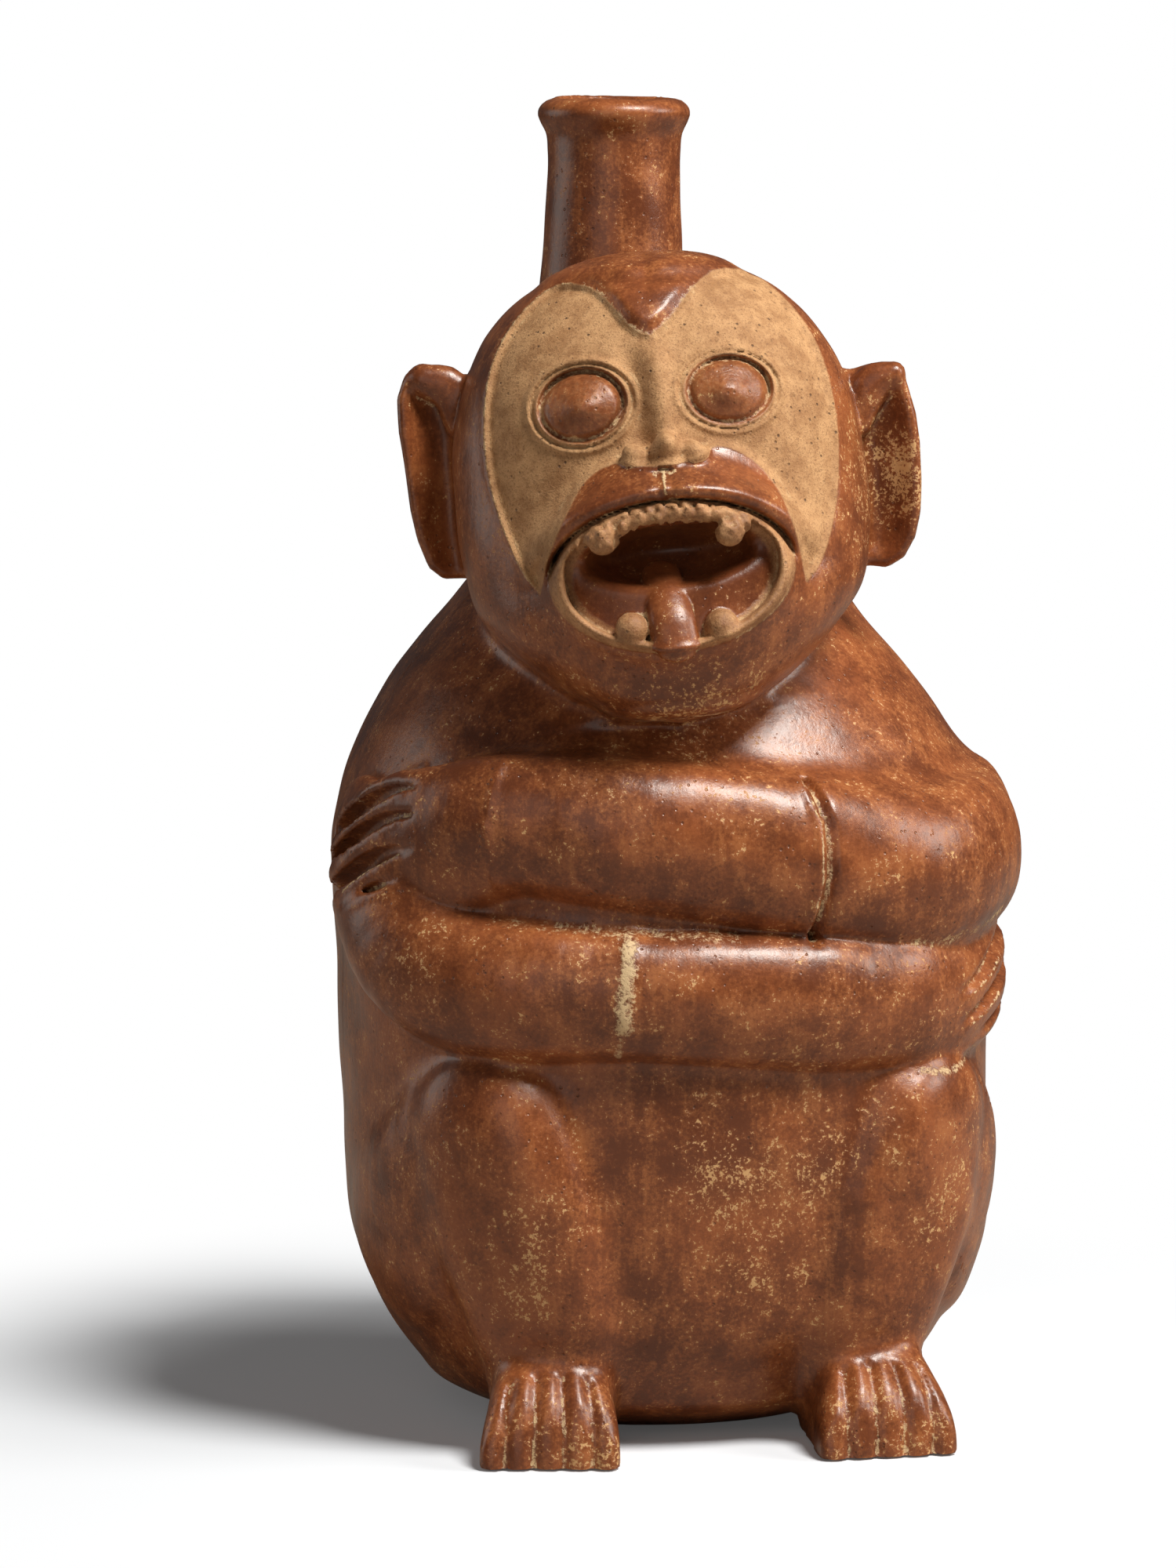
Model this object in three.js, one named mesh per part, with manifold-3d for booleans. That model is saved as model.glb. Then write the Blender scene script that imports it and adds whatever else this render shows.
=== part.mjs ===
// A seated monkey in the form of a hollow bottle, arms crossed over its belly and mouth open,
// with a tubular spout rising behind its turned head. Millimetres, +Z up, the figure faces -Y.
// The fired pot is one piece of ceramic. Each mesh is a member that the potter formed by itself:
// the moulded shells of the body and the head, and the slabs, coils and pellets luted on.
import * as THREE from "three";
import { mergeVertices } from "three/addons/utils/BufferGeometryUtils.js";
import Module from "manifold-3d";

const wasm = await Module();
wasm.setup();

// Shell and seams
const wall = 5;
const clearance = 0.35; // joint line between two members
const overrun = 4; // how far a cut runs past what it cuts

// Body
const bodyHeight = 170; // floor to the dome that the head covers
const bodyHalfWidth = 61;
const bodyFront = 51; // reach before and behind the upright axis
const bodyBack = 59;
const discRadius = 20; // slab that closes the base
const bodySides = 36;

// Head, in its own frame: its front is -Y, its centre is the origin
const headLift = 2; // centre of the head above the top of the body's dome
const headAhead = 14; // and before the axis
const headAside = 4; // and towards the figure's right hand
const headTurn = 10; // degrees to the figure's right
const headTilt = 6; // degrees, crown towards the figure's right
const headHalfHeight = 41.5;
const headHalfWidth = 37;
const headFront = 36;
const headBack = 33;
const headSides = 28;

// Muzzle
const muzzleHalfWidth = 24.5;
const muzzleReach = 48; // front of the muzzle before the head's centre
const muzzleDepth = 22;
const muzzleHalfHeight = 23.5;
const muzzleDrop = 14; // centre below the head's centre

// Mouth
const mouthHalfWidth = 18.5;
const mouthHalfHeight = 9.7;
const mouthDrop = 14.8;
const mouthDepth = 19; // recess behind the lips
const cupWall = 3;
const lipThickness = 2.6; // radius of the coil laid round the mouth
const lipOverlap = 1; // of the coil over the mouth's edge

// Teeth and tongue
const toothHalfHeight = 2.3;
const toothThickness = 2;
const upperCanineRadius = 2.5;
const lowerCanineRadius = 2.9;
const tongueHalfWidth = 4.2;
const tongueThickness = 2.2;

// Nose, eyes and brow
const noseHalfWidth = 6;
const noseHalfHeight = 3;
const noseProud = 2.6;
const noseRise = 7.2; // above the head's centre
const eyeSpacing = 14; // from the middle line
const eyeRise = 16.8;
const lidHalfWidth = 9;
const lidHalfHeight = 7.4;
const lidThickness = 1.5; // radius of the lid's coil
const eyeballHalfWidth = 6.2;
const eyeballHalfHeight = 5.2;
const eyeballProud = 3;
const browProud = 1.6; // thickness of the raised peak
const browHalfWidth = 13;
const browSet = 4.5; // level top of the peak below the crown
const browPoint = 10; // its point below that

// Ears
const earReach = 11; // beyond the side of the head
const earHeight = 39;
const earThickness = 4.8;
const earBevel = 1.7;
const earSet = 4; // behind the head's centre
const earFlare = 12; // degrees that the outer edge stands forwards
const rightEarRise = 4.8; // middle of each ear against the head's centre
const leftEarRise = -2;
const lobeBreadth = 3.4; // fold at the top of each ear
const lobeDepth = 3.4;

// Spout
const spoutRise = 70; // top of the lip above the body's dome
const spoutBack = 40; // axis behind the body's axis
const spoutAside = 2.5; // and towards the figure's right
const spoutRadius = 13;
const spoutRoot = 52; // how far the tube starts below the body's dome
const spoutLean = 2.4; // sideways drift of the axis from the lip to the root
const boreRadius = 8.6;
const lipHeight = 5.4;
const lipProud = 1.4; // beyond the tube
const spoutSides = 24;

// Limbs: half of their breadth along the skin, and how far they stand proud of it
const armBreadth = 13.5;
const armDepth = 8;
const fingerBreadth = 3.5;
const fingerDepth = 4.6;
const smallFingerBreadth = 2.6; // the figure's right hand is the smaller
const smallFingerDepth = 4.2;
const legBreadth = 13.5;
const legDepth = 7;

// Feet
const footLength = 20; // ankle to the tips of the toes
const footHalfWidth = 13;
const footHeight = 20; // at the instep
const footSquareness = 3; // of its section
const toeCount = 5;
const toeGroove = 0.9; // half of the width of the grooves that part the toes
const footAheadShare = 0.706; // of the body's reach before the axis, to the ankle
const rightFootSpreadShare = 0.455; // of the body's half width, from the middle line
const leftFootSpreadShare = 0.487;
const rightFootSplay = 10; // degrees outwards
const leftFootSplay = 2;

const slip = { color: 0x8c4a2d, roughness: 0.42, metalness: 0 };
const buff = { color: 0xc08c5c, roughness: 0.9, metalness: 0 };
const mouthSlip = { color: 0x6d2f1c, roughness: 0.6, metalness: 0 };

const mergeDistance = 1e-4;

// Indexed geometry with its faces turned outwards
function closedGeometry(points, triangles) {
  const geometry = new THREE.BufferGeometry().setFromPoints(points);
  let volume = 0;
  for (let i = 0; i < triangles.length; i += 3) {
    const [a, b, c] = triangles.slice(i, i + 3).map((index) => points[index]);
    volume += a.dot(b.clone().cross(c));
  }
  geometry.setIndex(volume < 0 ? triangles.slice().reverse() : triangles);
  return geometry;
}

function solid(geometry) {
  const bare = new THREE.BufferGeometry();
  bare.setAttribute("position", geometry.getAttribute("position"));
  bare.setIndex(geometry.index);
  const merged = mergeVertices(bare, mergeDistance);
  const mesh = new wasm.Mesh({
    numProp: 3,
    vertProperties: merged.getAttribute("position").array,
    triVerts: new Uint32Array(merged.index.array),
  });
  return new wasm.Manifold(mesh);
}

function member(name, shape, finish) {
  const made = shape.getMesh();
  const geometry = new THREE.BufferGeometry();
  geometry.setAttribute("position", new THREE.BufferAttribute(made.vertProperties, 3));
  geometry.setIndex(new THREE.BufferAttribute(made.triVerts, 1));
  geometry.computeVertexNormals();
  const mesh = new THREE.Mesh(geometry, new THREE.MeshStandardMaterial(finish));
  mesh.name = name;
  return mesh;
}

const joined = (shapes) => shapes.reduce((all, shape) => all.add(shape));
const cutBy = (shape, tools) => tools.reduce((left, tool) => left.subtract(tool), shape);

// A copy of a closed form, scaled about its middle so that each side moves out by the growth
function swollen(geometry, growth) {
  const box = new THREE.Box3().setFromBufferAttribute(geometry.getAttribute("position"));
  const half = box.getSize(new THREE.Vector3()).divideScalar(2);
  const centre = box.getCenter(new THREE.Vector3());
  return geometry
    .clone()
    .translate(-centre.x, -centre.y, -centre.z)
    .scale((half.x + growth) / half.x, (half.y + growth) / half.y, (half.z + growth) / half.z)
    .translate(centre.x, centre.y, centre.z);
}

// Skin over rings of equal count, closed by a fan at each end, or end to end
function loft(rings, endless = false) {
  const sides = rings[0].length;
  const points = rings.flat();
  const triangles = [];
  const spans = endless ? rings.length : rings.length - 1;
  for (let r = 0; r < spans; r++) {
    const near = r * sides;
    const far = ((r + 1) % rings.length) * sides;
    for (let k = 0; k < sides; k++) {
      const next = (k + 1) % sides;
      triangles.push(near + k, near + next, far + next, near + k, far + next, far + k);
    }
  }
  if (endless) return closedGeometry(points, triangles);
  for (const r of [0, rings.length - 1]) {
    const hub = new THREE.Vector3();
    rings[r].forEach((corner) => hub.add(corner));
    points.push(hub.divideScalar(sides));
    for (let k = 0; k < sides; k++) {
      const edge = [r * sides + ((k + 1) % sides), r * sides + k];
      if (r) edge.reverse();
      triangles.push(points.length - 1, ...edge);
    }
  }
  return closedGeometry(points, triangles);
}

function ellipsoid(halfX, halfY, halfZ, centre, sides) {
  return new THREE.SphereGeometry(1, sides, sides / 2)
    .rotateX(Math.PI / 2)
    .scale(halfX, halfY, halfZ)
    .translate(...centre);
}

function block(sizeX, sizeY, sizeZ, x, y, z) {
  return solid(new THREE.BoxGeometry(sizeX, sizeY, sizeZ).translate(x, y, z));
}

// A shell parted into the piece before and the piece behind its middle
function halves(shape, reach) {
  const span = 2 * reach;
  const shift = reach + clearance / 2;
  const before = block(span, span, span, 0, -shift, 0);
  const behind = block(span, span, span, 0, shift, 0);
  return [shape.intersect(before), shape.intersect(behind)];
}

// Smooth table: rows of [place, values...] read at any place between them
function smoothTable(rows) {
  const places = rows.map((row) => row[0]);
  const values = rows.flatMap((row) => row.slice(1));
  const reader = new THREE.CubicInterpolant(places, values, rows[0].length - 1);
  return (place) => Array.from(reader.evaluate(place));
}

// Level ring: a softly squared oval that reaches unlike distances before and behind the axis
const squareness = 2.3;
const bowed = (value, power) => Math.sign(value) * Math.abs(value) ** power;

function ovalPoint(angle, { height, halfWidth, front, back, middle = 0 }) {
  const across = bowed(Math.sin(angle), 2 / squareness);
  const ahead = bowed(Math.cos(angle), 2 / squareness);
  const halfDepth = (front + back) / 2;
  const x = middle + halfWidth * across;
  return new THREE.Vector3(x, back - halfDepth * (1 + ahead), height);
}

function ovalRing(section, sides) {
  return Array.from({ length: sides }, (_, k) => ovalPoint((2 * Math.PI * k) / sides, section));
}

// Body: shares of its height, half width, front reach and back reach, and how far each level
// stands to the figure's right, as a share of the half width
const bodyShares = [
  [0, 0.42, 0.42, 0.44, 0],
  [0.012, 0.52, 0.56, 0.54, 0],
  [0.024, 0.62, 0.68, 0.66, 0],
  [0.038, 0.7, 0.762, 0.735, 0],
  [0.06, 0.757, 0.815, 0.79, 0],
  [0.11, 0.85, 0.9, 0.865, 0],
  [0.18, 0.93, 0.965, 0.925, 0],
  [0.27, 0.962, 1, 0.968, 0],
  [0.37, 0.968, 1, 0.985, 0],
  [0.47, 0.98, 0.985, 0.995, 0],
  [0.57, 0.995, 0.96, 1, 0],
  [0.64, 0.983, 0.925, 0.998, 0],
  [0.7, 0.935, 0.86, 0.985, 0.006],
  [0.75, 0.86, 0.765, 0.955, 0.012],
  [0.8, 0.765, 0.64, 0.905, 0.017],
  [0.85, 0.65, 0.49, 0.83, 0.016],
  [0.9, 0.54, 0.33, 0.72, 0.008],
  [0.94, 0.43, 0.2, 0.6, 0],
  [0.97, 0.315, 0.09, 0.455, 0],
  [0.99, 0.19, 0, 0.29, 0],
  [1, 0.02, -0.09, 0.11, 0],
];
const readBody = smoothTable(bodyShares);

function bodySection(heightShare) {
  const [width, front, back, aside] = readBody(heightShare);
  return {
    height: heightShare * bodyHeight,
    halfWidth: width * bodyHalfWidth,
    front: front * bodyFront,
    back: back * bodyBack,
    middle: -aside * bodyHalfWidth,
  };
}

const bodyForm = loft(bodyShares.map(([share]) => ovalRing(bodySection(share), bodySides)));
const bodyGrown = solid(swollen(bodyForm, clearance));

// The hollow inside is scraped plainer than the outside
const hollowRows = bodyShares.filter((_, r) => r % 2 === 0);
const hollowForm = swollen(
  loft(hollowRows.map(([share]) => ovalRing(bodySection(share), bodySides / 2))),
  -wall,
);

// A place on the body's skin and its outward direction, by degrees round from the front
function onBody(around, heightShare) {
  const section = bodySection(heightShare);
  const place = ovalPoint(THREE.MathUtils.degToRad(around), section);
  const halfDepth = (section.front + section.back) / 2;
  const aside = (place.x - section.middle) / section.halfWidth;
  const behind = (place.y - section.back + halfDepth) / halfDepth;
  const outward = new THREE.Vector3(
    bowed(aside, squareness - 1) / section.halfWidth,
    bowed(behind, squareness - 1) / halfDepth,
    0,
  );
  return { place, outward: outward.normalize() };
}

// Head: shares of its half height, half width, front reach and back reach
const headShares = [
  [-1, 0.03, 0.8, -0.76],
  [-0.965, 0.25, 0.96, -0.5],
  [-0.88, 0.46, 1.07, -0.12],
  [-0.73, 0.7, 1.12, 0.34],
  [-0.54, 0.91, 1.1, 0.7],
  [-0.3, 0.99, 1.04, 0.92],
  [0, 1, 0.98, 1],
  [0.3, 0.965, 0.92, 0.985],
  [0.51, 0.88, 0.83, 0.88],
  [0.7, 0.74, 0.7, 0.74],
  [0.86, 0.53, 0.5, 0.53],
  [0.96, 0.29, 0.27, 0.29],
  [1, 0.03, 0.02, 0.03],
];
const readHead = smoothTable(headShares);

function headSection(heightShare) {
  const [width, front, back] = readHead(heightShare);
  return {
    height: heightShare * headHalfHeight,
    halfWidth: width * headHalfWidth,
    front: front * headFront,
    back: back * headBack,
  };
}

const skullForm = loft(headShares.map(([share]) => ovalRing(headSection(share), headSides)));
const muzzleCentre = new THREE.Vector3(0, muzzleDepth - muzzleReach, -muzzleDrop);
const muzzleForm = ellipsoid(muzzleHalfWidth, muzzleDepth, muzzleHalfHeight, muzzleCentre, 20);

// The whole head, grown or shrunk, in its own frame or after a placing
function headSolid(growth, placing = new THREE.Matrix4()) {
  const forms = [skullForm, muzzleForm];
  return joined(forms.map((form) => solid(swollen(form, growth).applyMatrix4(placing))));
}

const head = new THREE.Group();
const turn = THREE.MathUtils.degToRad(-headTurn);
const tilt = THREE.MathUtils.degToRad(-headTilt);
head.position.set(-headAside, -headAhead, bodyHeight + headLift);
head.rotation.set(0, tilt, turn, "ZYX");
head.updateMatrix();
const toHead = head.matrix.clone().invert();
const headGrown = headSolid(clearance);
const headOnBody = headSolid(clearance, head.matrix);

// The front of the head at a place across and up, on whichever of skull and muzzle is foremost
function frontOfHead(x, z) {
  const section = headSection(z / headHalfHeight);
  const halfDepth = (section.front + section.back) / 2;
  const across = Math.min(1, Math.abs(x) / section.halfWidth) ** squareness;
  const skull = section.back - halfDepth * (1 + (1 - across) ** (1 / squareness));
  const up = (z - muzzleCentre.z) / muzzleHalfHeight;
  const roundness = 1 - (x / muzzleHalfWidth) ** 2 - up ** 2;
  if (roundness <= 0) return new THREE.Vector3(x, skull, z);
  return new THREE.Vector3(x, Math.min(skull, muzzleCentre.y - muzzleDepth * roundness ** 0.5), z);
}

// Spout: a tube with a slight lean, bored through into the body
const spoutTop = bodyHeight + spoutRise;
const tubeTop = spoutTop - lipHeight - clearance;
const tubeBottom = bodyHeight - spoutRoot;

// Shares of the tube's length from its root, of its radius, and of its lean
const tubeShares = [
  [0, 1.38, 1],
  [0.2, 1.31, 0.96],
  [0.36, 1.23, 0.86],
  [0.52, 1.14, 0.7],
  [0.68, 1.07, 0.48],
  [0.8, 1.01, 0.3],
  [0.9, 0.96, 0.12],
  [0.96, 0.94, 0.04],
  [1, 1, 0],
];

function spoutCircle(height, radius, lean) {
  return Array.from({ length: spoutSides }, (_, k) => {
    const angle = (2 * Math.PI * k) / spoutSides;
    const axis = -spoutAside - lean * spoutLean;
    const reach = radius * Math.sin(angle);
    return new THREE.Vector3(axis + radius * Math.cos(angle), spoutBack + reach, height);
  });
}

const bore = solid(
  loft([
    spoutCircle(tubeBottom - overrun, boreRadius, 1),
    spoutCircle(tubeTop, boreRadius, 0),
    spoutCircle(spoutTop + overrun, boreRadius, 0),
  ]),
);

function spoutTube() {
  const rings = tubeShares.map(([along, wide, lean]) =>
    spoutCircle(tubeBottom + along * (tubeTop - tubeBottom), wide * spoutRadius, lean),
  );
  return cutBy(solid(loft(rings)), [bodyGrown, headOnBody, bore]);
}

// Rolled lip: rounded outside, and eased into the bore
function spoutLip() {
  const outer = spoutRadius + lipProud;
  const ease = lipHeight / 4;
  const middle = lipHeight / 2;
  const outline = new THREE.Shape();
  outline.moveTo(boreRadius, 0);
  outline.lineTo(spoutRadius - ease, 0);
  outline.quadraticCurveTo(outer, 0, outer, middle);
  outline.quadraticCurveTo(outer, lipHeight, outer - middle, lipHeight);
  outline.lineTo(boreRadius + ease, lipHeight);
  outline.quadraticCurveTo(boreRadius, lipHeight, boreRadius, lipHeight - ease);
  outline.closePath();
  const ring = new THREE.LatheGeometry(outline.getPoints(2), spoutSides);
  ring.rotateX(Math.PI / 2).translate(-spoutAside, spoutBack, spoutTop - lipHeight);
  return solid(ring);
}

// Body shells, with the neck, the spout's bore and the base's slab cut out
const discForm = new THREE.CylinderGeometry(discRadius, discRadius, wall, bodySides)
  .rotateX(Math.PI / 2)
  .translate(0, 0, wall / 2);
const discGrown = solid(swollen(discForm, clearance));
const bodyShell = cutBy(solid(bodyForm), [solid(hollowForm), headOnBody, bore, discGrown]);
const [bodyFrontShell, bodyBackShell] = halves(bodyShell, 2 * bodyHeight);

// Head shells: the face and the crown, open to the body at the neck, with the mouth in the face
const neckVoid = solid(hollowForm.clone().applyMatrix4(toHead));
const mouthCentre = frontOfHead(0, -mouthDrop);
const mouthHole = solid(
  new THREE.CylinderGeometry(mouthHalfWidth, mouthHalfWidth, 2 * (mouthDepth + overrun), 20)
    .scale(1, 1, mouthHalfHeight / mouthHalfWidth)
    .translate(...mouthCentre),
);
const headShell = cutBy(headSolid(0), [headSolid(-wall), neckVoid]);
const [faceWhole, crownShell] = halves(headShell, 2 * headHalfHeight);
const faceShell = faceWhole.subtract(mouthHole);

// Mouth cup: the walled recess behind the lips
function mouthCup() {
  const halfWidth = mouthHalfWidth + cupWall;
  const halfHeight = mouthHalfHeight + cupWall;
  const outside = solid(ellipsoid(halfWidth, mouthDepth + cupWall, halfHeight, mouthCentre, 18));
  const inside = solid(ellipsoid(mouthHalfWidth, mouthDepth, mouthHalfHeight, mouthCentre, 18));
  return outside.subtract(inside).intersect(headSolid(-wall - clearance)).subtract(neckVoid);
}

// Coil of lip round the mouth, following the muzzle
function lipForm(growth) {
  const steps = 26;
  const sides = 6;
  const radius = lipThickness + growth;
  const reachX = mouthHalfWidth + lipThickness - lipOverlap;
  const reachZ = mouthHalfHeight + lipThickness - lipOverlap;
  const rings = Array.from({ length: steps }, (_, k) => {
    const angle = (2 * Math.PI * k) / steps;
    const place = frontOfHead(reachX * Math.cos(angle), reachZ * Math.sin(angle) - mouthDrop);
    return Array.from({ length: sides }, (_, s) => {
      const round = (2 * Math.PI * s) / sides;
      const out = radius * Math.cos(round);
      const offset = new THREE.Vector3(out * Math.cos(angle), 0, out * Math.sin(angle));
      offset.y = radius * Math.sin(round);
      return offset.add(place);
    });
  });
  return solid(loft(rings, true));
}

// Rounded bar along a curve. Each station has a place, an outward direction, half of the bar's
// breadth and its depth along that direction, and both ends close in a quarter round.
const stout = { sides: 12, rings: 9 };
const slim = { sides: 8, rings: 6 };
const tipShare = 0.35;
const roundShare = 0.5; // length of an end's rounding against half of the breadth there

function bar(stations, { sides, rings: count }, growth = 0) {
  const first = stations[0];
  const last = stations[stations.length - 1];
  const path = new THREE.CatmullRomCurve3(stations.map((s) => s.place));
  const outward = new THREE.CatmullRomCurve3(stations.map((s) => s.outward));
  const sizes = new THREE.CatmullRomCurve3(
    stations.map((s) => new THREE.Vector3(s.breadth + growth, s.depth + growth, 0)),
  );
  const length = path.getLength();
  const endShare = (breadth) => Math.min(0.5, (roundShare * breadth) / length);
  const rings = [];
  for (let r = 0; r < count; r++) {
    const t = (1 - Math.cos((Math.PI * r) / (count - 1))) / 2;
    const centre = path.getPoint(t);
    const along = path.getTangent(t);
    const across = outward.getPoint(t).cross(along).normalize();
    const out = along.clone().cross(across);
    const { x: breadth, y: depth } = sizes.getPoint(t);
    const nearEnd = Math.min(t / endShare(first.breadth), (1 - t) / endShare(last.breadth), 1);
    const close = Math.max(tipShare, Math.sqrt(1 - (1 - nearEnd) ** 2));
    if (r === 0) centre.addScaledVector(along, -growth);
    if (r === count - 1) centre.addScaledVector(along, growth);
    rings.push(
      Array.from({ length: sides }, (_, k) => {
        const angle = (2 * Math.PI * k) / sides;
        return centre
          .clone()
          .addScaledVector(across, close * breadth * Math.cos(angle))
          .addScaledVector(out, close * depth * Math.sin(angle));
      }),
    );
  }
  return solid(loft(rings));
}

// Stations on the body's skin: rows of [degrees round, share of height, of breadth, of depth],
// and, where the limb sinks into the body, the share of the depth by which it does
function limb(rows, breadth, depth, growth, detail = stout) {
  const stations = rows.map(([around, heightShare, wide, thick, sunk = 0]) => {
    const { place, outward } = onBody(around, heightShare);
    place.addScaledVector(outward, -sunk * depth);
    return { place, outward, breadth: wide * breadth, depth: thick * depth };
  });
  return bar(stations, detail, growth);
}

// Arms. The figure's left arm crosses above, with its hand on the right side of the body.
const leftUpperArmShares = [
  [91, 0.625, 0.85, 0.55, 0.6],
  [81, 0.622, 0.92, 0.62, 0.24],
  [69, 0.616, 0.98, 0.82, 0.06],
  [55, 0.61, 1.02, 1.02],
  [36, 0.598, 1.06, 1.12],
  [13.5, 0.623, 1.02, 1.05],
];
const leftForearmShares = [
  [16, 0.62, 1.02, 1],
  [2, 0.638, 1, 1],
  [-15, 0.654, 0.95, 0.95],
  [-37, 0.658, 0.88, 0.85],
];
const rightUpperArmShares = [
  [-72, 0.64, 0.8, 0.5],
  [-66, 0.59, 0.92, 0.8],
  [-56, 0.527, 0.95, 1.05],
  [-44, 0.5, 0.93, 1.08],
  [-30, 0.49, 0.92, 1.05],
  [-12.5, 0.487, 0.84, 0.92],
];
const rightForearmShares = [
  [-15, 0.487, 0.84, 0.92],
  [0, 0.484, 0.88, 0.94],
  [15, 0.478, 0.9, 0.93],
  [31, 0.476, 0.88, 0.85],
];

// Hands: a palm, then the fingers, the uppermost first
const leftPalmShares = [
  [-36, 0.656, 0.88, 0.86],
  [-46, 0.642, 1.02, 0.86],
  [-55, 0.63, 1.02, 0.62],
];
const leftFingerShares = [
  [[-50, 0.712, 0.85, 1.05], [-62, 0.688, 0.85, 1], [-77, 0.66, 0.75, 0.65]],
  [[-49, 0.682, 0.95, 1.05], [-63, 0.655, 0.95, 1], [-81, 0.622, 0.8, 0.65]],
  [[-48, 0.648, 1.05, 1.05], [-62, 0.619, 1.05, 1], [-82, 0.58, 0.85, 0.65]],
  [[-47, 0.604, 1.1, 1.05], [-60, 0.571, 1.1, 1], [-79, 0.535, 0.9, 0.65]],
];
const rightPalmShares = [
  [30, 0.476, 0.86, 0.82],
  [37, 0.482, 0.9, 0.78],
  [44, 0.488, 0.85, 0.55],
];
const rightFingerShares = [
  [[38, 0.522, 0.95, 1], [50, 0.534, 0.95, 1], [68, 0.547, 0.8, 0.7]],
  [[39, 0.497, 1, 1], [52, 0.509, 1, 1], [72, 0.524, 0.8, 0.7]],
  [[39, 0.469, 1, 1], [52, 0.481, 1, 1], [72, 0.496, 0.8, 0.7]],
  [[38, 0.442, 1, 1], [50, 0.451, 1, 1], [68, 0.466, 0.8, 0.7]],
];

function hand(palmShares, fingerShares, breadth, depth, growth) {
  const palm = limb(palmShares, armBreadth, armDepth, growth);
  return joined([palm, ...fingerShares.map((rows) => limb(rows, breadth, depth, growth, slim))]);
}

const armForms = {
  upper_arm_left: (growth) => limb(leftUpperArmShares, armBreadth, armDepth, growth),
  forearm_left: (growth) => limb(leftForearmShares, armBreadth, armDepth, growth),
  hand_left: (growth) =>
    hand(leftPalmShares, leftFingerShares, fingerBreadth, fingerDepth, growth),
  upper_arm_right: (growth) => limb(rightUpperArmShares, armBreadth, armDepth, growth),
  forearm_right: (growth) => limb(rightForearmShares, armBreadth, armDepth, growth),
  hand_right: (growth) =>
    hand(rightPalmShares, rightFingerShares, smallFingerBreadth, smallFingerDepth, growth),
};

// Legs, drawn up before the body: a thigh along its side and a shin down to the ankle
const thighShares = [
  [69, 0.2, 0.85, 0.5, 0.56],
  [57, 0.27, 0.92, 0.62, 0.2],
  [42, 0.325, 0.9, 0.8],
];
const shinShares = [
  [39, 0.345, 0.8, 0.9],
  [34, 0.25, 0.95, 0.95],
  [32, 0.15, 0.92, 0.85],
  [32, 0.09, 0.85, 0.75],
];
const mirrored = (rows, side) => rows.map(([around, ...rest]) => [side * around, ...rest]);

function leg(side, growth) {
  return joined(
    [thighShares, shinShares].map((rows) =>
      limb(mirrored(rows, side), legBreadth, legDepth, growth),
    ),
  );
}

// Feet: a wedge that widens to the toes and ends in a steep rounded front, flat underneath, with
// scored grooves between the toes. Shares of the length, of the half width and of the height.
const footShares = [
  [-0.45, 0.8, 1.02],
  [0, 0.84, 1.02],
  [0.3, 0.9, 0.97],
  [0.55, 0.95, 0.84],
  [0.75, 0.98, 0.7],
  [0.89, 0.98, 0.54],
  [0.97, 0.95, 0.36],
  [1, 0.88, 0.16],
];
const readFoot = smoothTable(footShares);
const toeGrooveShares = [[0.68, 0.88], [0.84, 0.95], [0.94, 1], [1, 1]]; // along, and of the spacing

function foot(side) {
  const splay = side > 0 ? leftFootSplay : rightFootSplay;
  const spreadShare = side > 0 ? leftFootSpreadShare : rightFootSpreadShare;
  const placing = new THREE.Matrix4()
    .makeRotationZ(THREE.MathUtils.degToRad(side * splay))
    .setPosition(side * spreadShare * bodyHalfWidth, -footAheadShare * bodyFront, 0);
  const sides = 12;
  const rings = footShares.map(([along, wide, high]) =>
    Array.from({ length: sides + 1 }, (_, k) => {
      const angle = (Math.PI * k) / sides;
      const x = wide * footHalfWidth * bowed(Math.cos(angle), 2 / footSquareness);
      const z = high * footHeight * bowed(Math.sin(angle), 2 / footSquareness);
      return new THREE.Vector3(x, -along * footLength, k % sides ? z : 0).applyMatrix4(placing);
    }),
  );
  const toePitch = (2 * footHalfWidth) / toeCount;
  const grooves = Array.from({ length: toeCount - 1 }, (_, k) => {
    const between = (k + 1 - toeCount / 2) * toePitch;
    const stations = toeGrooveShares.map(([along, drawn]) => {
      const [wide, high] = readFoot(along);
      const x = drawn * between;
      const fall = 1 - Math.abs(x / (wide * footHalfWidth)) ** footSquareness;
      const z = high * footHeight * fall ** (1 / footSquareness);
      return {
        place: new THREE.Vector3(x, -along * footLength, z).applyMatrix4(placing),
        outward: new THREE.Vector3(0, -1, 1).normalize(),
        breadth: toeGroove,
        depth: toeGroove,
      };
    });
    return bar(stations, slim);
  });
  return cutBy(solid(loft(rings)), grooves);
}

const ahead = new THREE.Vector3(0, -1, 0);

// Each limb is cut by the body and by the members that lie over it
const limbs = [];
const overlying = [];
for (const [name, form] of Object.entries(armForms)) {
  limbs.push(member(name, cutBy(form(0), [bodyGrown, headOnBody, ...overlying]), slip));
  overlying.push(form(clearance));
}
const floorCut = block(2 * bodyHeight, 2 * bodyHeight, bodyHeight, 0, 0, -bodyHeight / 2);
for (const [name, side] of [["right", -1], ["left", 1]]) {
  const legShape = cutBy(leg(side, 0), [bodyGrown, floorCut, ...overlying]);
  const footShape = cutBy(foot(side), [bodyGrown, floorCut, leg(side, clearance)]);
  limbs.push(member(`leg_${name}`, legShape, slip), member(`foot_${name}`, footShape, slip));
}

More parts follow.
